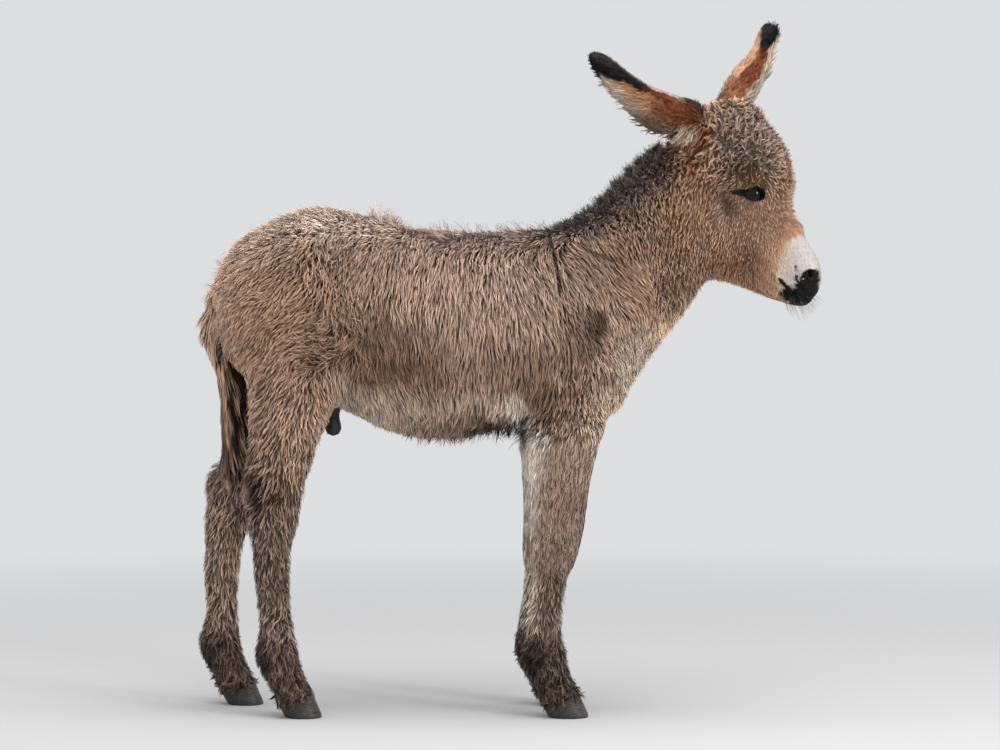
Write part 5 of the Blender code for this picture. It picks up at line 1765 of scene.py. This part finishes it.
def evened(node, voxel, passes, ripple):
    """A smooth copy of a CAD node, with ripple() added along its normals."""
    piece = welded(node)
    shape = bpy.data.meshes.new(node)
    piece.to_mesh(shape)
    piece.free()
    made = link(node + "_finished", shape)
    remesh = made.modifiers.new("even", "REMESH")
    remesh.mode = "VOXEL"
    remesh.voxel_size = voxel
    finished = evaluated_mesh(made)
    made.modifiers.clear()
    made.data = finished
    places, faces, lines = points_of(finished), triangles_of(finished), edges_of(finished)
    places = relaxed(places, lines, passes)
    places = places + normals_of(places, faces) * ripple(places)[:, None]
    set_points(finished, places)
    finished.materials.clear()
    finished.shade_smooth()
    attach(made, "root")
    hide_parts(node)
    return made, places


SCUFFS = (900.0, 0.0005, 0.5)
RING_HEIGHT = 0.00022
horn = natural("horn", scale=260.0, low=0.72, high=1.28, relief=SCUFFS, Roughness=0.46)
for leg in LEGS:
    low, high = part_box("hoof_" + leg)

    def rings(places):
        across = places[:, 2] + 0.30 * places[:, 0]
        return RING_HEIGHT * np.sin(across * 1500) * ramp(places[:, 2], 0.003, 0.008)

    hoof, places = evened("hoof_" + leg, voxel=0.0011, passes=6, ripple=rings)
    shade = evenly(places, linear(60, 57, 58))
    shade = toward(shade, linear(44, 41, 42), ramp(drift(places * [0.3, 0.3, 1], 0.008, 97), -0.3, 0.9))
    toe = ramp(places[:, 0], high.x - 0.050, high.x - 0.015)
    shade = toward(shade, SOOT, 0.75 * (1 - toe))
    muddy = ramp(places[:, 2] + 0.006 * drift(places, 0.012, 98), low.z + 0.018, low.z + 0.034)
    shade = toward(shade, MUD, 0.9 * muddy)
    shade = toward(shade, MUD, 0.6 * ramp(drift(places, 0.010, 99), 0.2, 1.2))
    set_tone(hoof.data, shade)
    hoof.data.materials.append(horn)

FINE_FOLDS = (700.0, 0.0006, 0.6)
bare_skin = natural("bare_black_skin", scale=500.0, low=0.7, high=1.3, relief=FINE_FOLDS, Roughness=0.42)


def wrinkles(places):
    folds = np.sin(places[:, 2] * 1700 + 2.0 * drift(places, 0.015, 100)) * ramp(0.50 - places[:, 2], 0, 0.02)
    toe = ramp(places[:, 0] - np.median(places[:, 0]), 0.002, 0.010) * bell(places[:, 2], 0.438, 0.010)
    bulb = 0.0024 * bell(places[:, 2], 0.445, 0.012) - 0.0012 * bell(places[:, 2], 0.463, 0.010)
    return 0.0005 * folds + bulb + 0.0045 * toe


sheath, places = evened("sheath", voxel=0.0012, passes=8, ripple=wrinkles)
set_tone(sheath.data, evenly(places, SOOT * 0.8) * (1 + 0.2 * drift(places, 0.01, 101))[:, None])
sheath.data.materials.append(bare_skin)


# ---- Studio: pale floor, soft light, camera ------------------------------------------------------
# The floor is one wide sheet that grows as pale as the room far away, so that no horizon shows.
# A broad softbox hangs overhead, and the room fills in from all sides.

ROOM = (0.80, 0.81, 0.83)
ROOM_STRENGTH = 0.90
FLOOR_HALF = 60
floor_mesh = bpy.data.meshes.new("floor")
sheet = [(x * FLOOR_HALF, y * FLOOR_HALF, 0) for x, y in ((-1, -1), (1, -1), (1, 1), (-1, 1))]
floor_mesh.from_pydata(sheet, [], [(0, 1, 2, 3)])
floor = link("floor", floor_mesh)
ground, ground_nodes, ground_links, ground_shader = new_material(
    "floor", Roughness=0.9, Specular_IOR_Level=0.0
)
where = ground_nodes.new("ShaderNodeTexCoord")
span = ground_nodes.new("ShaderNodeVectorMath")
span.operation = "LENGTH"
ground_links.new(where.outputs["Object"], span.inputs[0])
pale = ground_nodes.new("ShaderNodeMapRange")
pale.interpolation_type = "SMOOTHSTEP"
for socket, value in (("From Min", 0.45), ("From Max", 3.0), ("To Min", 0.0), ("To Max", 1.0)):
    pale.inputs[socket].default_value = value
ground_links.new(span.outputs["Value"], pale.inputs["Value"])
ground_shader.inputs["Base Color"].default_value = (0.57, 0.565, 0.56, 1)
far_glow = ground_nodes.new("ShaderNodeEmission")
far_glow.inputs["Color"].default_value = (*ROOM, 1)
far_glow.inputs["Strength"].default_value = ROOM_STRENGTH
fade = ground_nodes.new("ShaderNodeMixShader")
ground_links.new(pale.outputs["Result"], fade.inputs["Fac"])
ground_links.new(ground_shader.outputs["BSDF"], fade.inputs[1])
ground_links.new(far_glow.outputs["Emission"], fade.inputs[2])
ground_links.new(fade.outputs["Shader"], ground_nodes["Material Output"].inputs["Surface"])
bumped(ground_nodes, ground_links, ground_shader, scale=60.0, distance=0.0005, strength=0.2)
floor_mesh.materials.append(ground)


def softbox(name, width, height, energy, place, turn):
    lamp = bpy.data.lights.new(name, "AREA")
    lamp.shape = "RECTANGLE"
    lamp.size = width
    lamp.size_y = height
    lamp.energy = energy
    stand = link(name, lamp)
    stand.location = place
    stand.rotation_euler = turn


# A small lamp beside the camera only puts a point of light in the eye.
spark_place = Vector((2.6, -2.3, 1.45))
to_brow = (spark_place - Vector(brow)).to_track_quat("Z", "Y").to_euler()
softbox("eye_spark", width=0.60, height=0.80, energy=34, place=spark_place, turn=to_brow)

camera_data = bpy.data.cameras.new("camera")
camera_data.lens = 111.2
camera_data.dof.use_dof = False
camera = link("camera", camera_data)
camera.location = (-0.0148, -4.8, 0.70)
camera.rotation_euler = (math.radians(90 - 2.096), 0, 0)
scene.camera = camera
scene.view_settings.view_transform = "Standard"
world = bpy.data.worlds.new("room")
scene.world = world
world.use_nodes = True
backdrop = world.node_tree.nodes["Background"]
backdrop.inputs["Color"].default_value = (*ROOM, 1)
backdrop.inputs["Strength"].default_value = ROOM_STRENGTH
overhead_turn = (math.radians(-16), math.radians(4), 0)
softbox("overhead_softbox", width=3.4, height=2.6, energy=88, place=(0.2, -0.9, 3.0), turn=overhead_turn)
